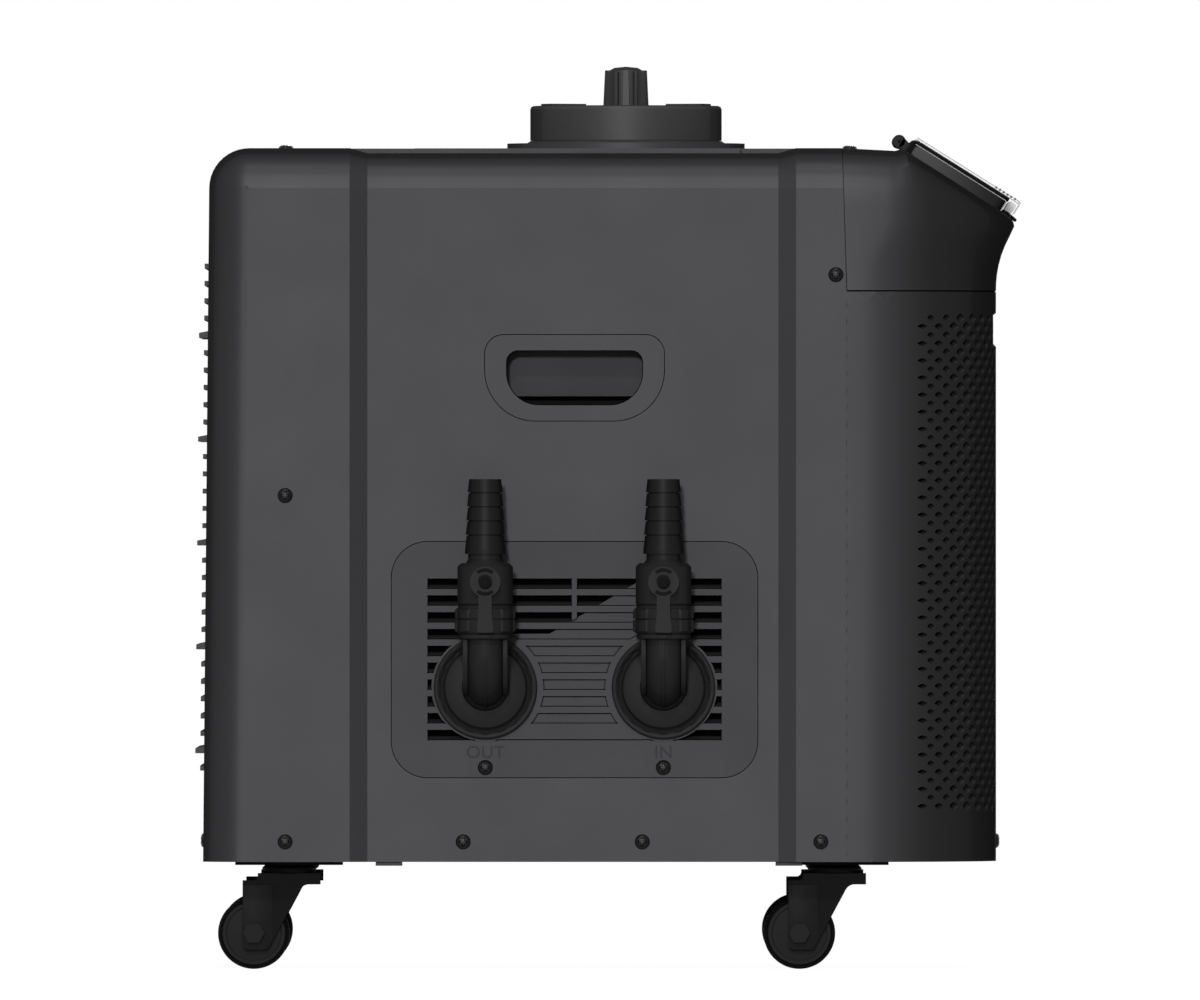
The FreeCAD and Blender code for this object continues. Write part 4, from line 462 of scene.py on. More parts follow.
def hoodColumn(x, y, out):
    # one upright line of points from the hood line, round the rim and onto the top
    h = hoodShape

    def place(z):
        onCorner = out.x > 0 or abs(y) < h["half"] - 1e-6
        return x + (hoodReach(z) if onCorner else 0)

    rimX = x + (h["reach"] if out.x > 0 else 0)
    rimZ = hoodTop(rimX)
    tilt = math.atan((math.tan(math.radians(h["slope"])) if rimX > h["breakX"] else 0.05) * out.x)
    turn = math.pi / 2 - tilt
    bend = max(0.0, (out.x - 0.35) / 0.65)
    radius = h["rearRound"] + (h["frontRound"] - h["rearRound"]) * bend
    back = radius * math.tan(turn / 2)
    points = []
    for share in (0, 0.12, 0.25, 0.4, 0.55, 0.7, 0.85):
        z = h["lineZ"] + h["gap"] + (rimZ - back - h["lineZ"] - h["gap"]) * share
        points.append(Vector((place(z), y, z)))
    for step in range(h["arcSteps"] + 1):
        angle = turn * step / h["arcSteps"]
        inward = radius * (1 - math.cos(angle))
        z = rimZ - back + radius * math.sin(angle)
        points.append(Vector((place(rimZ - back) - out.x * inward, y - out.y * inward, z)))
    return points


def hoodSide():
    # places and outward directions from the seam, along one side, round its corner to mid front
    h = hoodShape
    centreX = h["frontX"] - h["corner"]
    centreY = h["half"] - h["corner"]
    places = [(h["seamX"] + h["gap"], -h["half"], Vector((0, -1, 0)))]
    places.append((centreX, -h["half"], Vector((0, -1, 0))))
    for step in range(1, h["cornerSteps"] + 1):
        angle = math.pi / 2 * step / h["cornerSteps"]
        out = Vector((math.sin(angle), -math.cos(angle), 0))
        places.append((centreX + h["corner"] * out.x, -centreY + h["corner"] * out.y, out))
    for share in (0.33, 0.66, 1.0):
        places.append((h["frontX"], -centreY * (1 - share), Vector((1, 0, 0))))
    return places


def makeHood():
    h = hoodShape
    bm = bmesh.new()
    half = [hoodColumn(x, y, out) for x, y, out in hoodSide()]
    # the first column leans with the seam
    for point in half[0]:
        share = (point.z - h["lineZ"]) / (h["topZ"] - h["lineZ"])
        point.x = h["seamX"] + (h["seamTopX"] - h["seamX"]) * share + h["gap"]
    whole = half + [[Vector((p.x, -p.y, p.z)) for p in points] for points in reversed(half[:-1])]
    columns = [[bm.verts.new(p * mm) for p in points] for points in whole]
    ringStrip(bm, columns, False)
    rim = [column[-1] for column in columns]
    count = len(rim)
    for i in range(count // 2):
        j = count - 1 - i
        corners = [rim[i], rim[i + 1], rim[j - 1], rim[j]]
        distinct = list(dict.fromkeys(corners))
        if len(distinct) > 2 and i + 1 <= j - 1:
            bm.faces.new(distinct)
    bmesh.ops.remove_doubles(bm, verts=bm.verts[:], dist=1e-6)
    bmesh.ops.recalc_face_normals(bm, faces=bm.faces[:])
    piece = newPiece("hoodCover", bm, "cabinet", "frontGreyPaintedShade", 28, flip=False)
    wall = piece.modifiers.new("wall", "SOLIDIFY")
    wall.thickness = h["wall"] * mm
    wall.offset = -1
    applyModifiers(piece)
    smoothMesh(piece.data, 28)
    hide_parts("hood")


def makeHoodLip():
    # closes the joint between the hood and the top of the grille from inside
    lip = hoodLip
    bm = bmesh.new()
    rows = []
    for inset, z in ((lip["outer"], lip["high"]), (lip["outer"], lip["low"]), (lip["inner"], lip["low"]),
                     (lip["inner"], lip["high"])):
        row = [bm.verts.new(Vector((x - out.x * inset, y - out.y * inset, z)) * mm)
               for x, y, out in hoodSide()]
        row += [bm.verts.new(Vector((x - out.x * inset, inset * out.y - y, z)) * mm)
                for x, y, out in reversed(hoodSide()[:-1])]
        rows.append(row)
    ringStrip(bm, rows + [rows[0]], False)
    newPiece("hoodLip", bm, "cabinet", "innerBlack", 30)


makeHood()
makeHoodLip()
print("stage: hood")


# Front grille: rows of small pointed holes that wrap round both corners

grille = {"seamX": 171.5, "bottom": 75.0, "top": 472.0, "frontX": 276.5, "half": 200.0, "corner": 96.0,
          "wall": 3.4, "rows": 58, "topRow": 453.8, "rowPitch": 5.966, "firstAngle": 27.26, "columns": 32,
          "notchTop": 456.8, "notchBottom": 433.9, "notchDepth": 2.1, "power": 1.3,
          "holeShare": 0.62, "holeLift": 1.25, "holeShift": 0.5}
# half width and half height of the holes, by half column from either edge of the field
holeSizes = [(4.1, 1.8), (3.0, 2.1), (3.7, 2.4), (3.4, 2.8), (4.1, 3.2), (4.2, 3.4), (4.4, 3.6)]


def grillePlace(travel, z, inset):
    # travel runs from the start of the first corner, round the front, to the end of the second
    g = grille
    radius = g["corner"] - inset
    arc = g["corner"] * math.pi / 2
    flat = 2 * (g["half"] - g["corner"])
    centreX = g["frontX"] - g["corner"]
    centreY = g["half"] - g["corner"]
    if travel < 0:
        x, y = centreX + travel, -centreY - radius
    elif travel < arc:
        angle = travel / g["corner"]
        x, y = centreX + radius * math.sin(angle), -centreY - radius * math.cos(angle)
    elif travel < arc + flat:
        x, y = centreX + radius, -centreY + travel - arc
    elif travel < 2 * arc + flat:
        angle = (travel - arc - flat) / g["corner"]
        x, y = centreX + radius * math.cos(angle), centreY + radius * math.sin(angle)
    else:
        x, y = centreX - (travel - 2 * arc - flat), centreY + radius
    if g["notchBottom"] < z < g["notchTop"]:
        x = min(x, g["frontX"] - g["notchDepth"] - inset)
    return Vector((x, y, z)) * mm


def makeGrille():
    g = grille
    arc = g["corner"] * math.pi / 2
    total = 2 * arc + 2 * (g["half"] - g["corner"])
    first = math.radians(g["firstAngle"]) * g["corner"]
    pitch = (total - 2 * first) / (g["columns"] - 1)
    halfPitch = pitch / 2
    lastColumn = 2 * (g["columns"] - 1)
    lead = g["frontX"] - g["corner"] - g["seamX"]
    low, high = -lead, total + lead
    bm = bmesh.new()
    found = {}

    def clamped(travel, z):
        return min(high, max(low, travel)), min(g["top"], max(g["bottom"], z))

    def vertex(point, inset):
        key = (round(point[0], 3), round(point[1], 3), inset)
        if key not in found:
            found[key] = bm.verts.new(grillePlace(point[0], point[1], inset))
        return found[key]

    def area(points):
        return 0.5 * abs(sum(a[0] * b[1] - b[0] * a[1] for a, b in zip(points, points[1:] + points[:1])))

    def face(points, insets):
        corners = list(dict.fromkeys(vertex(point, inset) for point, inset in zip(points, insets)))
        if len(corners) > 2:
            bm.faces.new(corners)

    def cell(column, row):
        # column counts half pitches from the first full column; row counts down from the top row
        across = first + halfPitch * column
        z = g["topRow"] - g["rowPitch"] * row
        rim = []
        for i in range(8):
            angle = math.pi / 4 * i
            share = 1 / (abs(math.cos(angle)) + abs(math.sin(angle)))
            rim.append(clamped(across + halfPitch * share * math.cos(angle),
                               z + g["rowPitch"] * share * math.sin(angle)))
        if area(rim) < 0.01:
            return
        if not (0 <= row < g["rows"] and 0 <= column <= lastColumn):
            face(rim, [0] * 8)
            face(rim[::-1], [g["wall"]] * 8)
            return
        edge = min(column, lastColumn - column)
        wide, tall = holeSizes[min(edge, len(holeSizes) - 1)]
        shift = -g["holeShift"] if across < total / 2 else g["holeShift"]
        outer = []
        inner = []
        for i in range(8):
            angle = math.pi / 4 * i
            reach = (abs(math.cos(angle)) ** g["power"]
                     + abs(math.sin(angle)) ** g["power"]) ** (-1 / g["power"])
            u, v = wide * reach * math.cos(angle), tall * reach * math.sin(angle)
            outer.append((across + u, z + v))
            inner.append((across + u * g["holeShare"] + shift,
                          z + v * g["holeShare"] + g["holeLift"] * tall / holeSizes[-1][1]))
        for i in range(8):
            j = (i + 1) % 8
            face((rim[i], rim[j], outer[j], outer[i]), (0, 0, 0, 0))
            face((outer[i], outer[j], inner[j], inner[i]), (0, 0, g["wall"], g["wall"]))
            face((inner[i], inner[j], rim[j], rim[i]), [g["wall"]] * 4)

    lowColumn = math.floor((low - first) / halfPitch) - 1
    highColumn = math.ceil((high - first) / halfPitch) + 1
    lowRow = math.floor((g["topRow"] - g["top"]) / g["rowPitch"]) - 1
    highRow = math.ceil((g["topRow"] - g["bottom"]) / g["rowPitch"]) + 1
    for row in range(lowRow, highRow + 1):
        for column in range(lowColumn, highColumn + 1):
            if (row + column) % 2 == 1:
                cell(column, row)
    border = [edge for edge in bm.edges if edge.is_boundary]
    layerOf = {vert: key[2] for key, vert in found.items()}
    placeOf = {vert: key[:2] for key, vert in found.items()}
    for edge in border:
        a, b = edge.verts
        if layerOf[a] == 0 and layerOf[b] == 0:
            c, d = vertex(placeOf[b], g["wall"]), vertex(placeOf[a], g["wall"])
            bm.faces.new((a, b, c, d))
    bmesh.ops.recalc_face_normals(bm, faces=bm.faces[:])
    piece = newPiece("frontGrilleWall", bm, "cabinet", "frontGreyPaintedShade", 24, flip=False)
    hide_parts("front_grille")


makeGrille()
print("stage: front grille")


# Cross-head screws

screwLook = {"radius": 5.25, "height": 2.6, "segments": 40, "crossHalf": 0.72, "crossReach": 2.6,
             "crossDepth": 1.2, "sunk": 0.1, "sideY": 185.0, "topZ": 560.0, "seatBand": 0.4,
             "rings": [1.0, 0.985, 0.93, 0.84, 0.72, 0.6, 0.5, 0.42, 0.34, 0.26, 0.18, 0.1, 0.04]}


def addScrewHead(bm, place, out):
    s = screwLook
    turn = Vector((0, 0, 1)).rotation_difference(out).to_matrix()
    rows = []
    for share in s["rings"]:
        row = []
        dome = s["height"] * (1 - share ** 2.8) ** 0.5
        for i in range(s["segments"]):
            angle = 2 * math.pi * i / s["segments"]
            u, v = share * s["radius"] * math.cos(angle), share * s["radius"] * math.sin(angle)
            inCross = min(abs(u), abs(v)) < s["crossHalf"] and max(abs(u), abs(v)) < s["crossReach"]
            row.append(bm.verts.new((place + turn @ Vector((u, v, dome - s["crossDepth"] * inCross))) * mm))
        rows.append(row)
    ringStrip(bm, rows, True)
    bm.faces.new(rows[-1])


def screwIslands():
    # the points of each screw of the CAD group, in mm
    bm = bmesh.new()
    bm.from_mesh(cadNodes["cabinet_screws"].data)
    bmesh.ops.remove_doubles(bm, verts=bm.verts[:], dist=1e-6)
    found = set()
    islands = []
    for first in bm.verts:
        if first in found:
            continue
        found.add(first)
        stack = [first]
        island = []
        while stack:
            vert = stack.pop()
            island.append(vert.co / mm)
            for edge in vert.link_edges:
                other = edge.other_vert(vert)
                if other not in found:
                    found.add(other)
                    stack.append(other)
        islands.append(island)
    bm.free()
    return islands


def screwSeat(island):
    # the middle of the screw's outermost points, and the side of the cabinet that it faces
    s = screwLook
    middle = sum(island, Vector()) / len(island)
    if abs(middle.y) > s["sideY"]:
        out = Vector((0, 1 if middle.y > 0 else -1, 0))
    elif middle.z > s["topZ"]:
        out = Vector((0, 0, 1))
    else:
        out = Vector((1 if middle.x > 0 else -1, 0, 0))
    reach = max(point.dot(out) for point in island)
    top = [point for point in island if reach - point.dot(out) < s["seatBand"]]
    centre = sum(top, Vector()) / len(top)
    return centre - out * (s["height"] - s["sunk"]), out


def makeScrews():
    bm = bmesh.new()
    for island in screwIslands():
        addScrewHead(bm, *screwSeat(island))
    piece = newPiece("crossHeadScrews", bm, "cabinet", "screwBlack", 34)
    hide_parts("cabinet_screws")


makeScrews()
print("stage: screws")


# Words beside the ports, raised from the panel in its own colour

portX = {"outlet": -79.8, "inlet": 44.1}
words = {"size": 12.2, "raise": 0.3, "bevel": 0.05, "spacing": 1.06, "bottomZ": 147.4, "panelY": -196.5}


def makeWord(name, text, x):
    curve = bpy.data.curves.new(name, "FONT")
    curve.body = text
    curve.size = words["size"] * mm
    curve.align_x = "CENTER"
    curve.extrude = words["raise"] * mm
    curve.bevel_depth = words["bevel"] * mm
    curve.space_character = words["spacing"]
    holder = bpy.data.objects.new(name + "Curve", curve)
    bpy.context.scene.collection.objects.link(holder)
    depsgraph = bpy.context.evaluated_depsgraph_get()
    mesh = bpy.data.meshes.new_from_object(holder.evaluated_get(depsgraph))
    bpy.data.objects.remove(holder)
    bpy.data.curves.remove(curve)
    bm = bmesh.new()
    bm.from_mesh(mesh)
    bpy.data.meshes.remove(mesh)
    bm.transform(Matrix.Translation(Vector((x, words["panelY"], words["bottomZ"])) * mm)
                 @ Matrix.Rotation(math.pi / 2, 4, "X"))
    newPiece(name, bm, "cabinet", "wordGrey", 30)


makeWord("outWord", "OUT", portX["outlet"])
makeWord("inWord", "IN", portX["inlet"])
print("stage: port words")


# Painted shadow: dark strips along the steps round the openings of the flat mouldings, and dark finger
# pockets as painted shade in the hand holds; the foam behind the slots

shadowLineLook = {"width": 0.55, "proud": 0.06, "flush": 0.01, "facing": 0.99, "shortest": 0.05, "overlap": 0.3}
pocket = {"x": -17.7, "z": 396.6, "halfX": 51.0, "halfZ": 8.0, "front": 165.9, "back": 148.0, "wall": 1.6,
          "round": 5.0}
foam = {"low": (-126.0, 153.0), "high": (90.0, 279.0), "front": -190.3, "back": -184.0, "cell": 3.0,
        "wave": 1.2}


def makePaintedShadowLines(name, node, side, material):
    # painted shadow: a dark strip beside every edge of the node's outer face, found in its CAD mesh, in place
    # of the shade at the step there
    s = shadowLineLook
    source = bmesh.new()
    source.from_mesh(cadNodes[node].data)
    bmesh.ops.remove_doubles(source, verts=source.verts[:], dist=1e-6)
    source.normal_update()
    face = max(side * vert.co.y for vert in source.verts)
    bm = bmesh.new()
    for edge in source.edges:
        lowest = min(side * vert.co.y for vert in edge.verts)
        if lowest < face - s["flush"] * mm or len(edge.link_faces) != 2:
            continue
        flat = [one for one in edge.link_faces if side * one.normal.y > s["facing"]]
        if len(flat) != 1 or edge.calc_length() < s["shortest"] * mm:
            continue
        start, end = (vert.co for vert in edge.verts)
        along = (end - start).normalized()
        across = along.cross(Vector((0, 1, 0)))
        if across.dot(flat[0].calc_center_median() - start) > 0:
            across = -across
        lift = Vector((0, side * s["proud"] * mm, 0))
        across *= s["width"] * mm
        reach = along * s["width"] * mm * s["overlap"]
        corners = [start - reach, end + reach, end + reach + across, start - reach + across]
        bm.faces.new([bm.verts.new(corner + lift) for corner in corners])
    source.free()
    for one in bm.faces:
        one.normal_update()
        if side * one.normal.y < 0:
            one.normal_flip()
    newPiece(name, bm, "cabinet", material, 30, flip=False)


def makePaintedShadePocket(name, side):
    # a thin dark tub behind the slot of a hand hold, open toward the slot; its black is painted shade deep in
    # the hand hold
    p = pocket
    bm = bmesh.new()
    rows = []
    for grow, y in ((-4.0, p["back"] + p["wall"]), (0, p["back"] + p["wall"] + 4), (0, p["front"]),
                    (p["wall"], p["front"]), (p["wall"], p["back"] + 3), (p["wall"] - 4.0, p["back"])):
        x0, x1 = p["x"] - p["halfX"] - grow, p["x"] + p["halfX"] + grow
        z0, z1 = p["z"] - p["halfZ"] - grow * 0.7, p["z"] + p["halfZ"] + grow * 0.7
        loop = roundedPath([(x0, z0), (x1, z0), (x1, z1), (x0, z1)], [p["round"]] * 4)
        rows.append([bm.verts.new(Vector((x, side * y, z)) * mm) for x, z in loop])
    closedStack(bm, rows)
    newPiece(name, bm, "cabinet", "forkBlack", 30)


def makeFoam():
    f = foam
    columns = round((f["high"][0] - f["low"][0]) / f["cell"])
    lines = round((f["high"][1] - f["low"][1]) / f["cell"])
    bm = bmesh.new()
    rows = []
    for line in range(lines + 1):
        row = []
        for column in range(columns + 1):
            bump = 0.5 + 0.5 * math.sin(column * 1.1) * math.sin(line * 1.1)
            row.append(bm.verts.new(Vector((f["low"][0] + column * f["cell"], f["front"] + f["wave"] * bump,
                                            f["low"][1] + line * f["cell"])) * mm))
        rows.append(row)
    ringStrip(bm, rows, False)
    border = rows[0] + [row[-1] for row in rows[1:-1]] + rows[-1][::-1] + [row[0] for row in rows[-2:0:-1]]
    behind = [bm.verts.new(Vector((vert.co.x, f["back"] * mm, vert.co.z))) for vert in border]
    ringStrip(bm, [border, behind], True)
    bm.faces.new(behind)
    newPiece("slotFoam", bm, "cabinet", "innerBlack", 40)


makePaintedShadowLines("panelPaintedShadowLines", "port_panel", -1, "innerBlack")
makePaintedShadowLines("valveSideHandPaintedShadowLines", "handle_cup_valve_side", -1, "innerBlack")
makePaintedShadowLines("plainSideHandPaintedShadowLines", "handle_cup_plain_side", 1, "innerBlack")
makePaintedShadePocket("valveSidePaintedShadePocket", -1)
makePaintedShadePocket("plainSidePaintedShadePocket", 1)
makeFoam()
print("stage: steps, finger pockets and foam")


# Wheels: black tread round a lighter disc

wheelLook = {"radius": 25.0, "half": 9.0, "bore": 4.2, "segments": 96, "tread": 2.9,
             "centres": {"rear": -241.3, "front": 139.0}, "sideY": {"valve": -145.0, "plain": 145.0},
             "z": 25.0}


def makeWheel(end, side):
    w = wheelLook
    body = "caster_wheel_" + end + "_" + side + "_side"
    centre = Vector((w["centres"][end], w["sideY"][side], w["z"])) * mm
    r, half, tread = w["radius"], w["half"], w["tread"]
    rim = r - tread
    disc = [(w["bore"], half - 0.1), (7.2, half - 0.1), (8.0, half - 0.9), (rim - 3.4, half - 1.5),
            (rim - 2.6, half - 1.1), (rim - 0.4, half - 1.1), (rim, half - 1.6)]
    tyre = [(rim, half - 1.9), (rim + 0.25, half - 0.7), (rim + 0.8, half - 0.35), (r - 1.5, half - 1.0),
            (r - 0.5, half - 2.2), (r - 0.05, half - 4.0), (r, half - 6.0)]
    for name, shape, material in (("Disc", disc, "wheelDisc"), ("Tread", tyre, "treadRubber")):
        whole = shape + [(radius, -along) for radius, along in reversed(shape)]
        bm = bmesh.new()
        turnedRing(bm, whole, centre, (0, 1, 0), w["segments"])
        piece = newPiece(end + side.title() + "Wheel" + name, bm, body,
                         material, 26)
        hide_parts("caster_wheel_" + end + "_" + side + "_side")


forkCheek = {"reach": 12.3, "proud": 0.5, "radii": [0.8, 0.8, 2.0, 3.0, 4.0],
             "outline": [(-7.7, 58.9), (12.9, 58.9), (12.9, 20.5), (8.9, 13.3), (-7.7, 13.3)]}


def makeForkCheeks(end, side):
    # the flat of each fork leg, one sheet prouder than the brace beside it
    w, c = wheelLook, forkCheek
    bm = bmesh.new()
    outline = roundedPath([(w["centres"][end] + x, z) for x, z in c["outline"]], c["radii"])
    for out in (-1, 1):
        near = w["sideY"][side] + out * (c["reach"] - 0.3)
        sidePrism(bm, outline, near, w["sideY"][side] + out * (c["reach"] + c["proud"]))
    softened(bm, 0.25)
    newPiece(end + side.title() + "ForkCheeks", bm, "caster_swivel_" + end + "_" + side + "_side",
             "casterBlack", 30)


for end in ("rear", "front"):
    for side in ("valve", "plain"):
        makeWheel(end, side)
        makeForkCheeks(end, side)
print("stage: wheels and forks")


# Control unit: bright trim round the box, frosted end of the cover and its latch

slope = {"degrees": 32.1, "x": 213.5, "z": 569.7}


def onSlope(x, y, z):
    angle = math.radians(slope["degrees"])
    return Vector((slope["x"] + x * math.cos(angle) + z * math.sin(angle), y,
                   slope["z"] - x * math.sin(angle) + z * math.cos(angle))) * mm


def plateLoop(bm, x0, x1, half, z, radius, steps=6):
    # one level of a plate with rounded corners, lying on the slope
    loop = []
    for cx, cy, start in ((x1 - radius, half - radius, 0), (x0 + radius, half - radius, 90),
                          (x0 + radius, -half + radius, 180), (x1 - radius, -half + radius, 270)):
        for i in range(steps + 1):
            angle = math.radians(start + 90 * i / steps)
            x, y = cx + radius * math.cos(angle), cy + radius * math.sin(angle)
            loop.append(bm.verts.new(onSlope(x, y, z)))
    return loop


def stackedPlate(bm, levels, radius):
    # levels of (x0, x1, half, z), closed at both ends
    closedStack(bm, [plateLoop(bm, x0, x1, half, z, radius) for x0, x1, half, z in levels])


def slopePrism(bm, outline, y0, y1):
    # an outline of (x, z) points on the slope, pushed along Y
    closedStack(bm, [[bm.verts.new(onSlope(x, y, z)) for x, z in outline] for y in (y0, y1)])


box = {"x0": -0.2, "x1": 77.8, "half": 65.0, "low": 1.0, "high": 9.5, "corner": 6.0, "round": 3.4,
       "footShare": 0.3, "steps": 12, "bandHigh": 11.7, "bandReach": 1.2}
glass = {"border": 5.0, "sunk": 0.3, "proud": 0.25, "edge": 0.2, "corner": 3.0}
hinge = {"x": -7.9, "z": 4.7, "radius": 4.6, "bore": 0.9, "y": (-39.0, 39.0), "knuckle": 7.0}
neck = {"x0": -2.0, "x1": 86.0, "half": 62.0, "low": -1.5, "high": 2.4, "corner": 4.0}
trim = {"lead": 3.2, "drop": 0.55, "flatEnd": 76.1, "bendX": 76.4, "bend": 1.7, "bendSteps": 6, "footX": 78.2,
        "thick": 0.3, "sunk": 0.6, "proud": 0.35, "barX": (77.7, 78.1, 78.6)}


def roundedStart(z, low, high, radius, x0):
    # x of the rear end at height z, rounded at the top and a little at the foot
    centre = high - radius
    if z > centre:
        return x0 + radius - math.sqrt(max(0, radius ** 2 - (z - centre) ** 2))
    footRound = radius * box["footShare"]
    foot = low + footRound
    if z < foot:
        return x0 + footRound - math.sqrt(max(0, footRound ** 2 - (z - foot) ** 2))
    return x0


def makeDisplayHousing():
    b = box
    bm = bmesh.new()
    levels = []
    for i in range(b["steps"] + 1):
        z = b["low"] + (b["high"] - b["low"]) * i / b["steps"]
        levels.append((roundedStart(z, b["low"], b["high"], b["round"], b["x0"]), b["x1"], b["half"], z))
    stackedPlate(bm, levels, b["corner"])
    piece = newPiece("displayHousing", bm, "cabinet", "displayBlackPaintedShade", 30)
    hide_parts("display_box")


def makeDisplayNeckShadow():
    # a dark plate between the box and the hood's slope; its black is painted shadow under the box
    n = neck
    bm = bmesh.new()
    stackedPlate(bm, [(n["x0"], n["x1"], n["half"], z) for z in (n["low"], n["high"])], n["corner"])
    newPiece("displayNeckPaintedShadow", bm, "cabinet", "plateBlack", 30)


def makeDisplayHinge():
    h = hinge
    bm = bmesh.new()
    width = 2 * h["knuckle"]
    for y in h["y"]:
        y0, y1 = y - h["knuckle"], y + h["knuckle"]
        slopePrism(bm, [(h["x"] + 1.5, 0.6), (2.6, 2.3), (2.6, 6.6), (h["x"] + 1.5, 8.6)], y0, y1)
        ring = [(h["bore"], 0), (h["radius"] - 0.5, 0), (h["radius"], 0.5), (h["radius"], width - 0.5),
                (h["radius"] - 0.5, width), (h["bore"], width)]
        turnedRing(bm, ring, onSlope(h["x"], y0, h["z"]), (0, 1, 0), 40)
    newPiece("displayHinge", bm, "cabinet", "leverBlack", 30)


def makeDisplayBand():
    b = box
    bm = bmesh.new()
    reach = b["bandReach"]
    levels = []
    for i in range(b["steps"] + 1):
        z = b["low"] + 0.4 + (b["high"] - b["low"] - 0.4) * i / b["steps"]
        x0 = roundedStart(z, b["low"], b["bandHigh"], b["round"] + reach, b["x0"] - reach)
        levels.append((x0, b["x1"] - 1.5, b["half"] - 0.3, z))
    for z in (b["high"] + 0.05, (b["high"] + b["bandHigh"]) / 2, b["bandHigh"] - 0.25, b["bandHigh"]):
        x0 = roundedStart(z, b["low"], b["bandHigh"], b["round"] + reach, b["x0"] - reach)
        inset = 0.35 if z == b["bandHigh"] else 0
        levels.append((x0, b["x1"] + reach - inset, b["half"] + reach - inset, z))
    stackedPlate(bm, levels, b["corner"])
    piece = newPiece("displayBand", bm, "cabinet", "sealRubber", 30)
    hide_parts("display_gasket")


def makeDisplayGlass():
    b, g = box, glass
    bm = bmesh.new()
    border, top = g["border"], b["bandHigh"] + g["proud"]
    levels = [(b["x0"] + inset, b["x1"] - inset, b["half"] - inset, z)
              for inset, z in ((border, b["high"] - g["sunk"]), (border, top - g["edge"]),
                               (border + g["edge"], top))]
    stackedPlate(bm, levels, g["corner"])
    piece = newPiece("displayGlass", bm, "cabinet", "touchGlass", 30)
    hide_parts("display_panel")


def makeDisplayTrim():
    # a bright strip along both sides that turns down over the front end
    b, s = box, trim
    bm = bmesh.new()
    lineZ = b["high"] - s["drop"]
    line = [(b["x0"] + s["lead"], lineZ), (s["flatEnd"], lineZ)]
    for i in range(s["bendSteps"] + 1):
        angle = math.radians(90 - 90 * i / s["bendSteps"])
        line.append((s["bendX"] + s["bend"] * math.cos(angle),
                     lineZ - s["bend"] + s["bend"] * math.sin(angle)))
    line.append((s["footX"], b["low"] + 0.1))
    for side in (-1, 1):
        rows = []
        for i, (x, z) in enumerate(line):
            before, after = line[max(0, i - 1)], line[min(len(line) - 1, i + 1)]
            along = Vector((after[0] - before[0], after[1] - before[1])).normalized()
            across = Vector((-along.y, along.x)) * s["thick"]
            y0, y1 = side * (b["half"] - s["sunk"]), side * (b["half"] + s["proud"])
            rows.append([bm.verts.new(onSlope(x + across.x, y0, z + across.y)),
                         bm.verts.new(onSlope(x + across.x, y1, z + across.y)),
                         bm.verts.new(onSlope(x - across.x, y1, z - across.y)),
                         bm.verts.new(onSlope(x - across.x, y0, z - across.y))])
        ringStrip(bm, rows, True)
        bm.faces.new(rows[0])
        bm.faces.new(rows[-1])
    back, ridge, front = s["barX"]
    slopePrism(bm, [(back, b["low"] + 0.1), (front, b["low"] + 0.1), (front, b["high"] - 1.8),
                    (ridge, b["high"] - 0.6), (back, b["high"] - 0.6)],
               -b["half"] + s["sunk"], b["half"] - s["sunk"])
    newPiece("displayTrim", bm, "cabinet", "brightTrim", 30)


cover = {"x0": 1.0, "x1": 87.2, "half": 69.0, "low": 12.1, "high": 13.6, "line": 0.38, "corner": 6.0,
         "endLow": 4.0, "endThick": 1.7, "endHalf": 63.0, "ribs": 6, "ribX": 82.5, "ribPitch": 3.1,
         "ribHeight": 1.0, "ribHalf": 24.0, "armY": (-27.0, 27.0), "armHalf": 4.0}
grip = {"half": 64.5, "edge": 0.4, "outline": [(79.5, 2.9), (79.5, 9.6), (80.4, 10.4), (84.6, 10.4),
                                               (85.4, 9.6), (85.4, 4.2), (84.4, 2.9)]}
catch = {"half": 8.0, "edge": 0.35, "outline": [(83.8, 1.7), (84.6, 3.4), (88.6, 3.0), (91.0, 2.6),
                                                (91.6, 1.4), (90.8, 0.4), (84.6, 0.8)]}


def makeCover():
    # a thin clear plate with an end wall and two hinge arms
    c = cover
    line = c["line"]
    bm = bmesh.new()
    levels = [(c["x0"] + inset, c["x1"] - inset, c["half"] - inset, z)
              for inset, z in ((0.2, c["low"]), (0, c["low"] + 0.2), (0, c["high"] - line),
                               (line, c["high"]))]
    stackedPlate(bm, levels, c["corner"])
    slopePrism(bm, [(c["x1"] - c["endThick"], c["endLow"]), (c["x1"] - line, c["endLow"]),
                    (c["x1"] - line, c["low"]), (c["x1"] - c["endThick"], c["low"])],
               -c["endHalf"], c["endHalf"])
    for y in c["armY"]:
        slopePrism(bm, [(-12.2, 4.7), (-10.6, 8.2), (-7.9, 9.0), (-3.2, 9.2), (c["x0"], c["high"] - 0.8),
                        (c["x0"] + 2, c["high"] - 0.4), (c["x0"] + 2, c["low"] + 0.1), (-1.6, 7.6),
                        (-3.6, 5.4), (-5.4, 1.0), (-10.2, 1.0)], y - c["armHalf"], y + c["armHalf"])
    piece = newPiece("coverPlate", bm, "cover", "clearPlastic", 30)
    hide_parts("clear_cover")


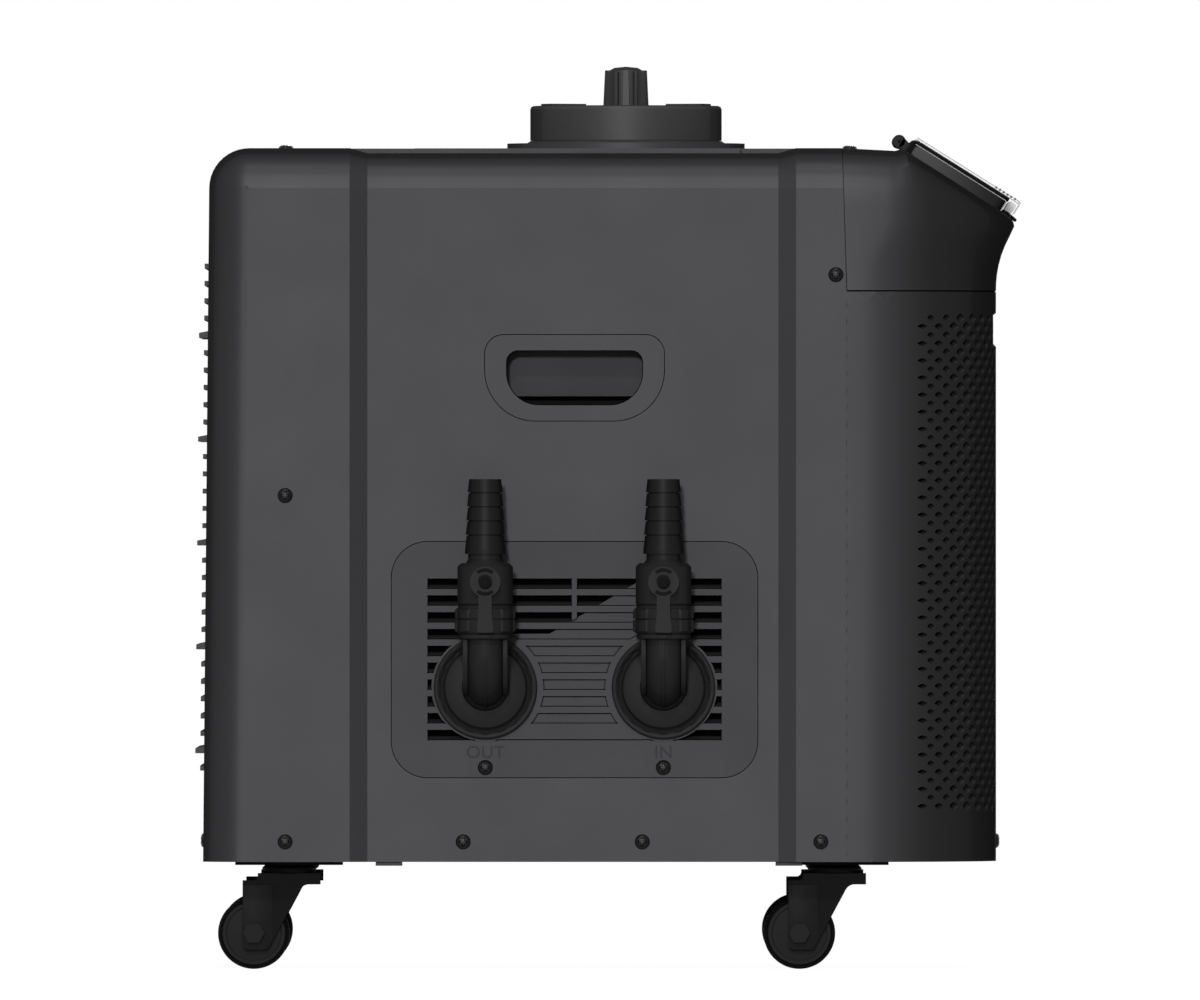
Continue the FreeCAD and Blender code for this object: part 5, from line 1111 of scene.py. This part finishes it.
def makeCoverEdges():
    # dark lines along the plate's sides and end, and the ribs across it
    c = cover
    line = c["line"]
    bm = bmesh.new()
    for side in (-1, 1):
        y0, y1 = side * (c["half"] - 0.6), side * (c["half"] + 0.02)
        start, stop = c["x0"] + 1.0, c["x1"] - c["corner"] * 0.35
        slopePrism(bm, [(start, c["high"] - line), (stop, c["high"] - line), (stop, c["high"]),
                        (start, c["high"])], y0, y1)
        y0, y1 = side * (c["endHalf"] - 0.3), side * (c["endHalf"] + 0.1)
        slopePrism(bm, [(c["x1"] - 2.4, c["high"] - line), (c["x1"] - 0.9, c["high"] - line - 0.2),
                        (c["x1"] - line, c["high"] - 1.4), (c["x1"] - line, c["endLow"]),
                        (c["x1"], c["endLow"]), (c["x1"], c["high"] - 1.2),
                        (c["x1"] - 0.8, c["high"] - 0.1), (c["x1"] - 2.4, c["high"])], y0, y1)
    for index in range(c["ribs"]):
        x = c["ribX"] - c["ribPitch"] * index
        ribTop = c["high"] + c["ribHeight"]
        slopePrism(bm, [(x - 0.7, c["high"] - 0.1), (x + 0.7, c["high"] - 0.1), (x + 0.45, ribTop),
                        (x - 0.45, ribTop)], -c["ribHalf"], c["ribHalf"])
    newPiece("coverEdges", bm, "cover", "darkCoverEdge", 30)


def makeSlopeBar(name, look, body, material):
    # a softened bar across the slope
    bm = bmesh.new()
    slopePrism(bm, look["outline"], -look["half"], look["half"])
    softened(bm, look["edge"])
    newPiece(name, bm, body, material, 30)


makeDisplayHousing()
makeDisplayNeckShadow()
makeDisplayHinge()
makeDisplayBand()
makeDisplayGlass()
makeDisplayTrim()
makeCover()
makeCoverEdges()
makeSlopeBar("coverEndGrip", grip, "cover", "frostedGripPaintedShade")
makeSlopeBar("coverCatch", catch, "cabinet", "screwBlack")
print("stage: control unit")


# Union nuts with grip lugs

nut = {"lowZ": 234.0, "highZ": 254.0, "radius": 19.9, "bore": 15.3, "valveY": -232.5, "lugs": 8,
       "lugReach": 1.25, "lugHalf": 13.0, "segments": 192}


def makeUnionNut(port):
    n = nut
    bm = bmesh.new()
    r = n["radius"]
    # radius, height share, and how much of the lugs shows there
    profile = [(n["bore"], 0.0, 0), (r - 1.4, 0.0, 0), (r - 0.5, 0.04, 0.2), (r, 0.09, 1), (r, 0.3, 1),
               (r, 0.44, 1), (r, 0.475, 0.9), (r - 0.55, 0.49, 0.1), (r - 0.55, 0.515, 0.1),
               (r, 0.53, 0.9), (r, 0.6, 1), (r, 0.8, 1), (r - 0.1, 0.86, 0.4), (r - 0.9, 0.9, 0),
               (r - 1.1, 0.95, 0), (r - 2.0, 1.0, 0), (n["bore"], 1.0, 0)]
    rows = []
    for radius, share, lugs in profile:
        row = []
        for i in range(n["segments"]):
            angle = 2 * math.pi * i / n["segments"]
            turn = (math.degrees(angle) + 180 / n["lugs"]) % (360 / n["lugs"]) - 180 / n["lugs"]
            rise = max(0.0, min(1.0, (n["lugHalf"] - abs(turn)) / 2.5))
            reach = radius + n["lugReach"] * lugs * rise
            row.append(bm.verts.new(Vector((portX[port] + reach * math.sin(angle),
                                            n["valveY"] - reach * math.cos(angle),
                                            n["lowZ"] + (n["highZ"] - n["lowZ"]) * share)) * mm))
        rows.append(row)
    ringStrip(bm, rows + [rows[0]], True)
    piece = newPiece(port + "UnionNut", bm, "cabinet", "fittingBlack", 30)
    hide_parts(port + "_union_nut")


makeUnionNut("outlet")
makeUnionNut("inlet")
print("stage: union nuts")


# Port discs, elbows with their cheeks, and the painted-shadow plugs of the levers

port = {"z": 196.5, "faceY": -196.5, "bendY": -208.5, "bendZ": 220.5, "bend": 24.0, "pipe": 12.5, "steps": 16,
        "segments": 56, "tailY": -200.5, "collarLow": 230.4, "collarHigh": 233.8, "collar": 18.8,
        "collarEdge": 0.6, "collarBore": 12.4, "plateEdge": 0.3,
        "plates": [(-15.6, -12.1, 12.0, 29.5), (12.1, 15.6, 12.0, 29.5), (-0.75, 0.75, 30.0, 37.7)]}
# radius, height off the panel, and share of the scallops
discProfile = [(12.6, 1.0, 0), (35.8, 0.1, 0), (36.0, 0.4, 0), (36.0, 3.3, 0), (35.5, 4.3, 0), (34.6, 4.8, 0),
               (33.3, 4.7, 0), (32.2, 4.1, 0.6), (31.2, 3.0, 1), (30.4, 2.6, 1), (29.4, 3.2, 0.6),
               (28.7, 5.6, 0.2), (27.9, 7.2, 0), (26.6, 7.9, 0), (20.0, 8.9, 0), (16.4, 9.3, 0),
               (16.0, 8.2, 0), (12.6, 8.2, 0)]
scallops = {"count": 18, "depth": 0.5, "segments": 144}
lever = {"z": 269.95, "frontY": -258.6, "inner": 7.1, "outer": 9.6, "half": 40.0, "sunk": -0.04, "depth": 2.0,
         "steps": 8, "cap": 4.4, "capOut": 2.0}


def makePortDisc(name):
    bm = bmesh.new()
    rows = []
    for radius, height, scallop in discProfile:
        row = []
        for i in range(scallops["segments"]):
            angle = 2 * math.pi * i / scallops["segments"]
            reach = radius + scallops["depth"] * scallop * math.cos(scallops["count"] * angle)
            row.append(bm.verts.new(Vector((portX[name] + reach * math.sin(angle), port["faceY"] - height,
                                            port["z"] + reach * math.cos(angle))) * mm))
        rows.append(row)
    ringStrip(bm, rows + [rows[0]], True)
    piece = newPiece(name + "Disc", bm, "cabinet", "fittingBlack", 26)
    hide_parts(name + "_disc")
    # a black rubber seal round the elbow's root; its dark crescent under the elbow is partly painted shadow
    bm = bmesh.new()
    sealAndShadowRing = [(12.6, 8.0), (15.8, 8.0), (15.9, 9.6), (15.3, 10.2), (12.6, 10.2)]
    centre = Vector((portX[name], port["faceY"], port["z"])) * mm
    turnedRing(bm, sealAndShadowRing, centre, (0, -1, 0), 64)
    newPiece(name + "ElbowSealAndShadow", bm, "cabinet", "sealRubber", 30)


def elbowStations():
    # (y, z) of the pipe's middle, and its outward direction, from the panel up to the collar
    p = port
    stations = [((p["tailY"], p["bendZ"] - p["bend"]), (0.0, -1.0))]
    for step in range(p["steps"] + 1):
        angle = math.pi / 2 * step / p["steps"]
        out = (-math.sin(angle), -math.cos(angle))
        stations.append(((p["bendY"] + p["bend"] * out[0], p["bendZ"] + p["bend"] * out[1]), out))
    stations.append(((p["bendY"] - p["bend"], p["collarLow"] + 0.5), (-1.0, 0.0)))
    return stations


def makeElbow(name):
    p = port
    x = portX[name]
    bm = bmesh.new()
    rows = []
    for (y, z), (outY, outZ) in elbowStations():
        row = []
        for i in range(p["segments"]):
            angle = 2 * math.pi * i / p["segments"]
            reach = p["pipe"] * math.sin(angle)
            place = Vector((x + p["pipe"] * math.cos(angle), y + outY * reach, z + outZ * reach))
            row.append(bm.verts.new(place * mm))
        rows.append(row)
    ringStrip(bm, rows, True)
    for x0, x1, inner, outer in p["plates"]:
        chamfer = p["plateEdge"]
        rows = []
        for (y, z), (outY, outZ) in elbowStations():
            row = []
            for px, radius in ((x0, inner), (x0, outer - chamfer), (x0 + chamfer, outer),
                               (x1 - chamfer, outer), (x1, outer - chamfer), (x1, inner)):
                reach = radius - p["bend"]
                row.append(bm.verts.new(Vector((x + px, y + outY * reach, z + outZ * reach)) * mm))
            rows.append(row)
        ringStrip(bm, rows, True)
        bm.faces.new(rows[0])
        bm.faces.new(rows[-1])
    edge, bore = p["collarEdge"], p["collarBore"]
    low, high, radius = p["collarLow"], p["collarHigh"], p["collar"]
    ring = [(bore, low), (radius - edge, low), (radius, low + edge), (radius, high - edge),
            (radius - edge, high), (bore, high)]
    centre = Vector((x, p["bendY"] - p["bend"], 0)) * mm
    turnedRing(bm, ring, centre, (0, 0, 1), 96)
    piece = newPiece(name + "Elbow", bm, "cabinet", "fittingBlack", 28)
    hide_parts(name + "_elbow")


def makeLeverShadowPlugs(name):
    # dark plugs in the arc slots, painted shadow on the slot floors, and the cap over the stem's screw, a
    # real cap whose black is partly painted shade in its recess
    v = lever
    x = portX[name]
    bm = bmesh.new()
    for middle in (90, 270):
        outline = []
        for radius, turns in ((v["outer"], range(v["steps"] + 1)), (v["inner"], range(v["steps"], -1, -1))):
            for turn in turns:
                angle = math.radians(middle - v["half"] + 2 * v["half"] * turn / v["steps"])
                outline.append((x + radius * math.cos(angle), v["z"] + radius * math.sin(angle)))
        sidePrism(bm, outline, v["frontY"] + v["sunk"], v["frontY"] + v["depth"])
    profile = [(v["cap"], -0.2), (v["cap"], v["capOut"] - 0.5), (v["cap"] - 0.4, v["capOut"] - 0.1),
               (2.6, v["capOut"]), (2.3, v["capOut"] - 0.25), (0.2, v["capOut"] - 0.25)]
    centre = Vector((x, v["frontY"], v["z"])) * mm
    rows = turnedRows(bm, profile, centre, (0, -1, 0), 40)
    bm.faces.new(rows[-1])
    newPiece(name + "LeverShadowPlugs", bm, name + "_valve", "plateBlack", 30)


for name in ("outlet", "inlet"):
    makePortDisc(name)
    makeElbow(name)
    makeLeverShadowPlugs(name)
print("stage: port discs, elbows and lever plugs")


# Studio: pale floor, soft light and the photograph's straight side view

studio = {"lens": 1200.0, "clipEnd": 400.0, "faceY": -0.1, "viewWidth": 0.838, "midZ": 0.3269,
          "ambient": 0.25, "floorRadius": 4.0, "floorGrey": 0.9, "floorGlow": 1.03, "floorSeen": 0.94}
# energy, azimuth, elevation and angle: three in front, one behind and one on each side
suns = {"lowKey": (1.8, -4, 9, 4), "midKey": (1.35, -4, 32, 4), "highKey": (0.8, -4, 62, 6),
        "back": (1.4, 172, 35, 12), "rightSide": (0.4, 120, 20, 12), "leftSide": (0.5, -120, 20, 12)}


def addSun(name, energy, azimuth, elevation, angle):
    # azimuth 0 shines from the viewer's side, 90 from +X
    light = bpy.data.lights.new(name, "SUN")
    light.energy = energy
    light.angle = math.radians(angle)
    lamp = bpy.data.objects.new(name, light)
    a, e = math.radians(azimuth), math.radians(elevation)
    toLamp = Vector((math.sin(a) * math.cos(e), -math.cos(a) * math.cos(e), math.sin(e)))
    lamp.rotation_mode = "QUATERNION"
    lamp.rotation_quaternion = toLamp.to_track_quat("Z", "Y")
    bpy.context.scene.collection.objects.link(lamp)


def seenDirectly(tree):
    # 1 for camera, mirror and see-through rays
    rays = tree.nodes.new("ShaderNodeLightPath")
    first = mathNode(tree, "MAXIMUM", rays.outputs["Is Camera Ray"], rays.outputs["Is Glossy Ray"])
    return mathNode(tree, "MAXIMUM", first, rays.outputs["Is Transmission Ray"])


def makeWorld():
    world = bpy.data.worlds.new("studio")
    world.use_nodes = True
    tree = world.node_tree
    background = tree.nodes["Background"]
    background.inputs["Color"].default_value = (1, 1, 1, 1)
    seen = seenDirectly(tree)
    rise = mathNode(tree, "MULTIPLY", seen, 1 - studio["ambient"])
    strength = mathNode(tree, "ADD", rise, studio["ambient"])
    tree.links.new(strength, background.inputs["Strength"])
    bpy.context.scene.world = world


def makeFloor():
    bm = bmesh.new()
    bmesh.ops.create_circle(bm, cap_ends=True, segments=96, radius=studio["floorRadius"])
    mesh = bpy.data.meshes.new("floor")
    bm.to_mesh(mesh)
    bm.free()
    floor = bpy.data.objects.new("floor", mesh)
    bpy.context.scene.collection.objects.link(floor)
    material = bpy.data.materials.new("paleFloor")
    material.use_nodes = True
    tree = material.node_tree
    tree.nodes.remove(tree.nodes["Principled BSDF"])
    diffuse = tree.nodes.new("ShaderNodeBsdfDiffuse")
    diffuse.inputs["Color"].default_value = (studio["floorGrey"],) * 3 + (1,)
    glow = tree.nodes.new("ShaderNodeEmission")
    glow.inputs["Strength"].default_value = studio["floorGlow"]
    mix = tree.nodes.new("ShaderNodeMixShader")
    tree.links.new(mathNode(tree, "MULTIPLY", seenDirectly(tree), studio["floorSeen"]), mix.inputs["Fac"])
    tree.links.new(diffuse.outputs[0], mix.inputs[1])
    tree.links.new(glow.outputs[0], mix.inputs[2])
    tree.links.new(mix.outputs[0], tree.nodes["Material Output"].inputs["Surface"])
    mesh.materials.append(material)


def makeCamera():
    data = bpy.data.cameras.new("camera")
    data.lens = studio["lens"]
    data.clip_end = studio["clipEnd"]
    camera = bpy.data.objects.new("camera", data)
    distance = data.lens / data.sensor_width * studio["viewWidth"]
    camera.location = (0, studio["faceY"] - distance, studio["midZ"])
    camera.rotation_euler = (math.radians(90), 0, 0)
    bpy.context.scene.collection.objects.link(camera)
    bpy.context.scene.camera = camera


makeWorld()
makeFloor()
makeCamera()
for name, (energy, azimuth, elevation, angle) in suns.items():
    addSun(name, energy, azimuth, elevation, angle)
bpy.context.scene.view_settings.view_transform = "Standard"
print("stage: studio")
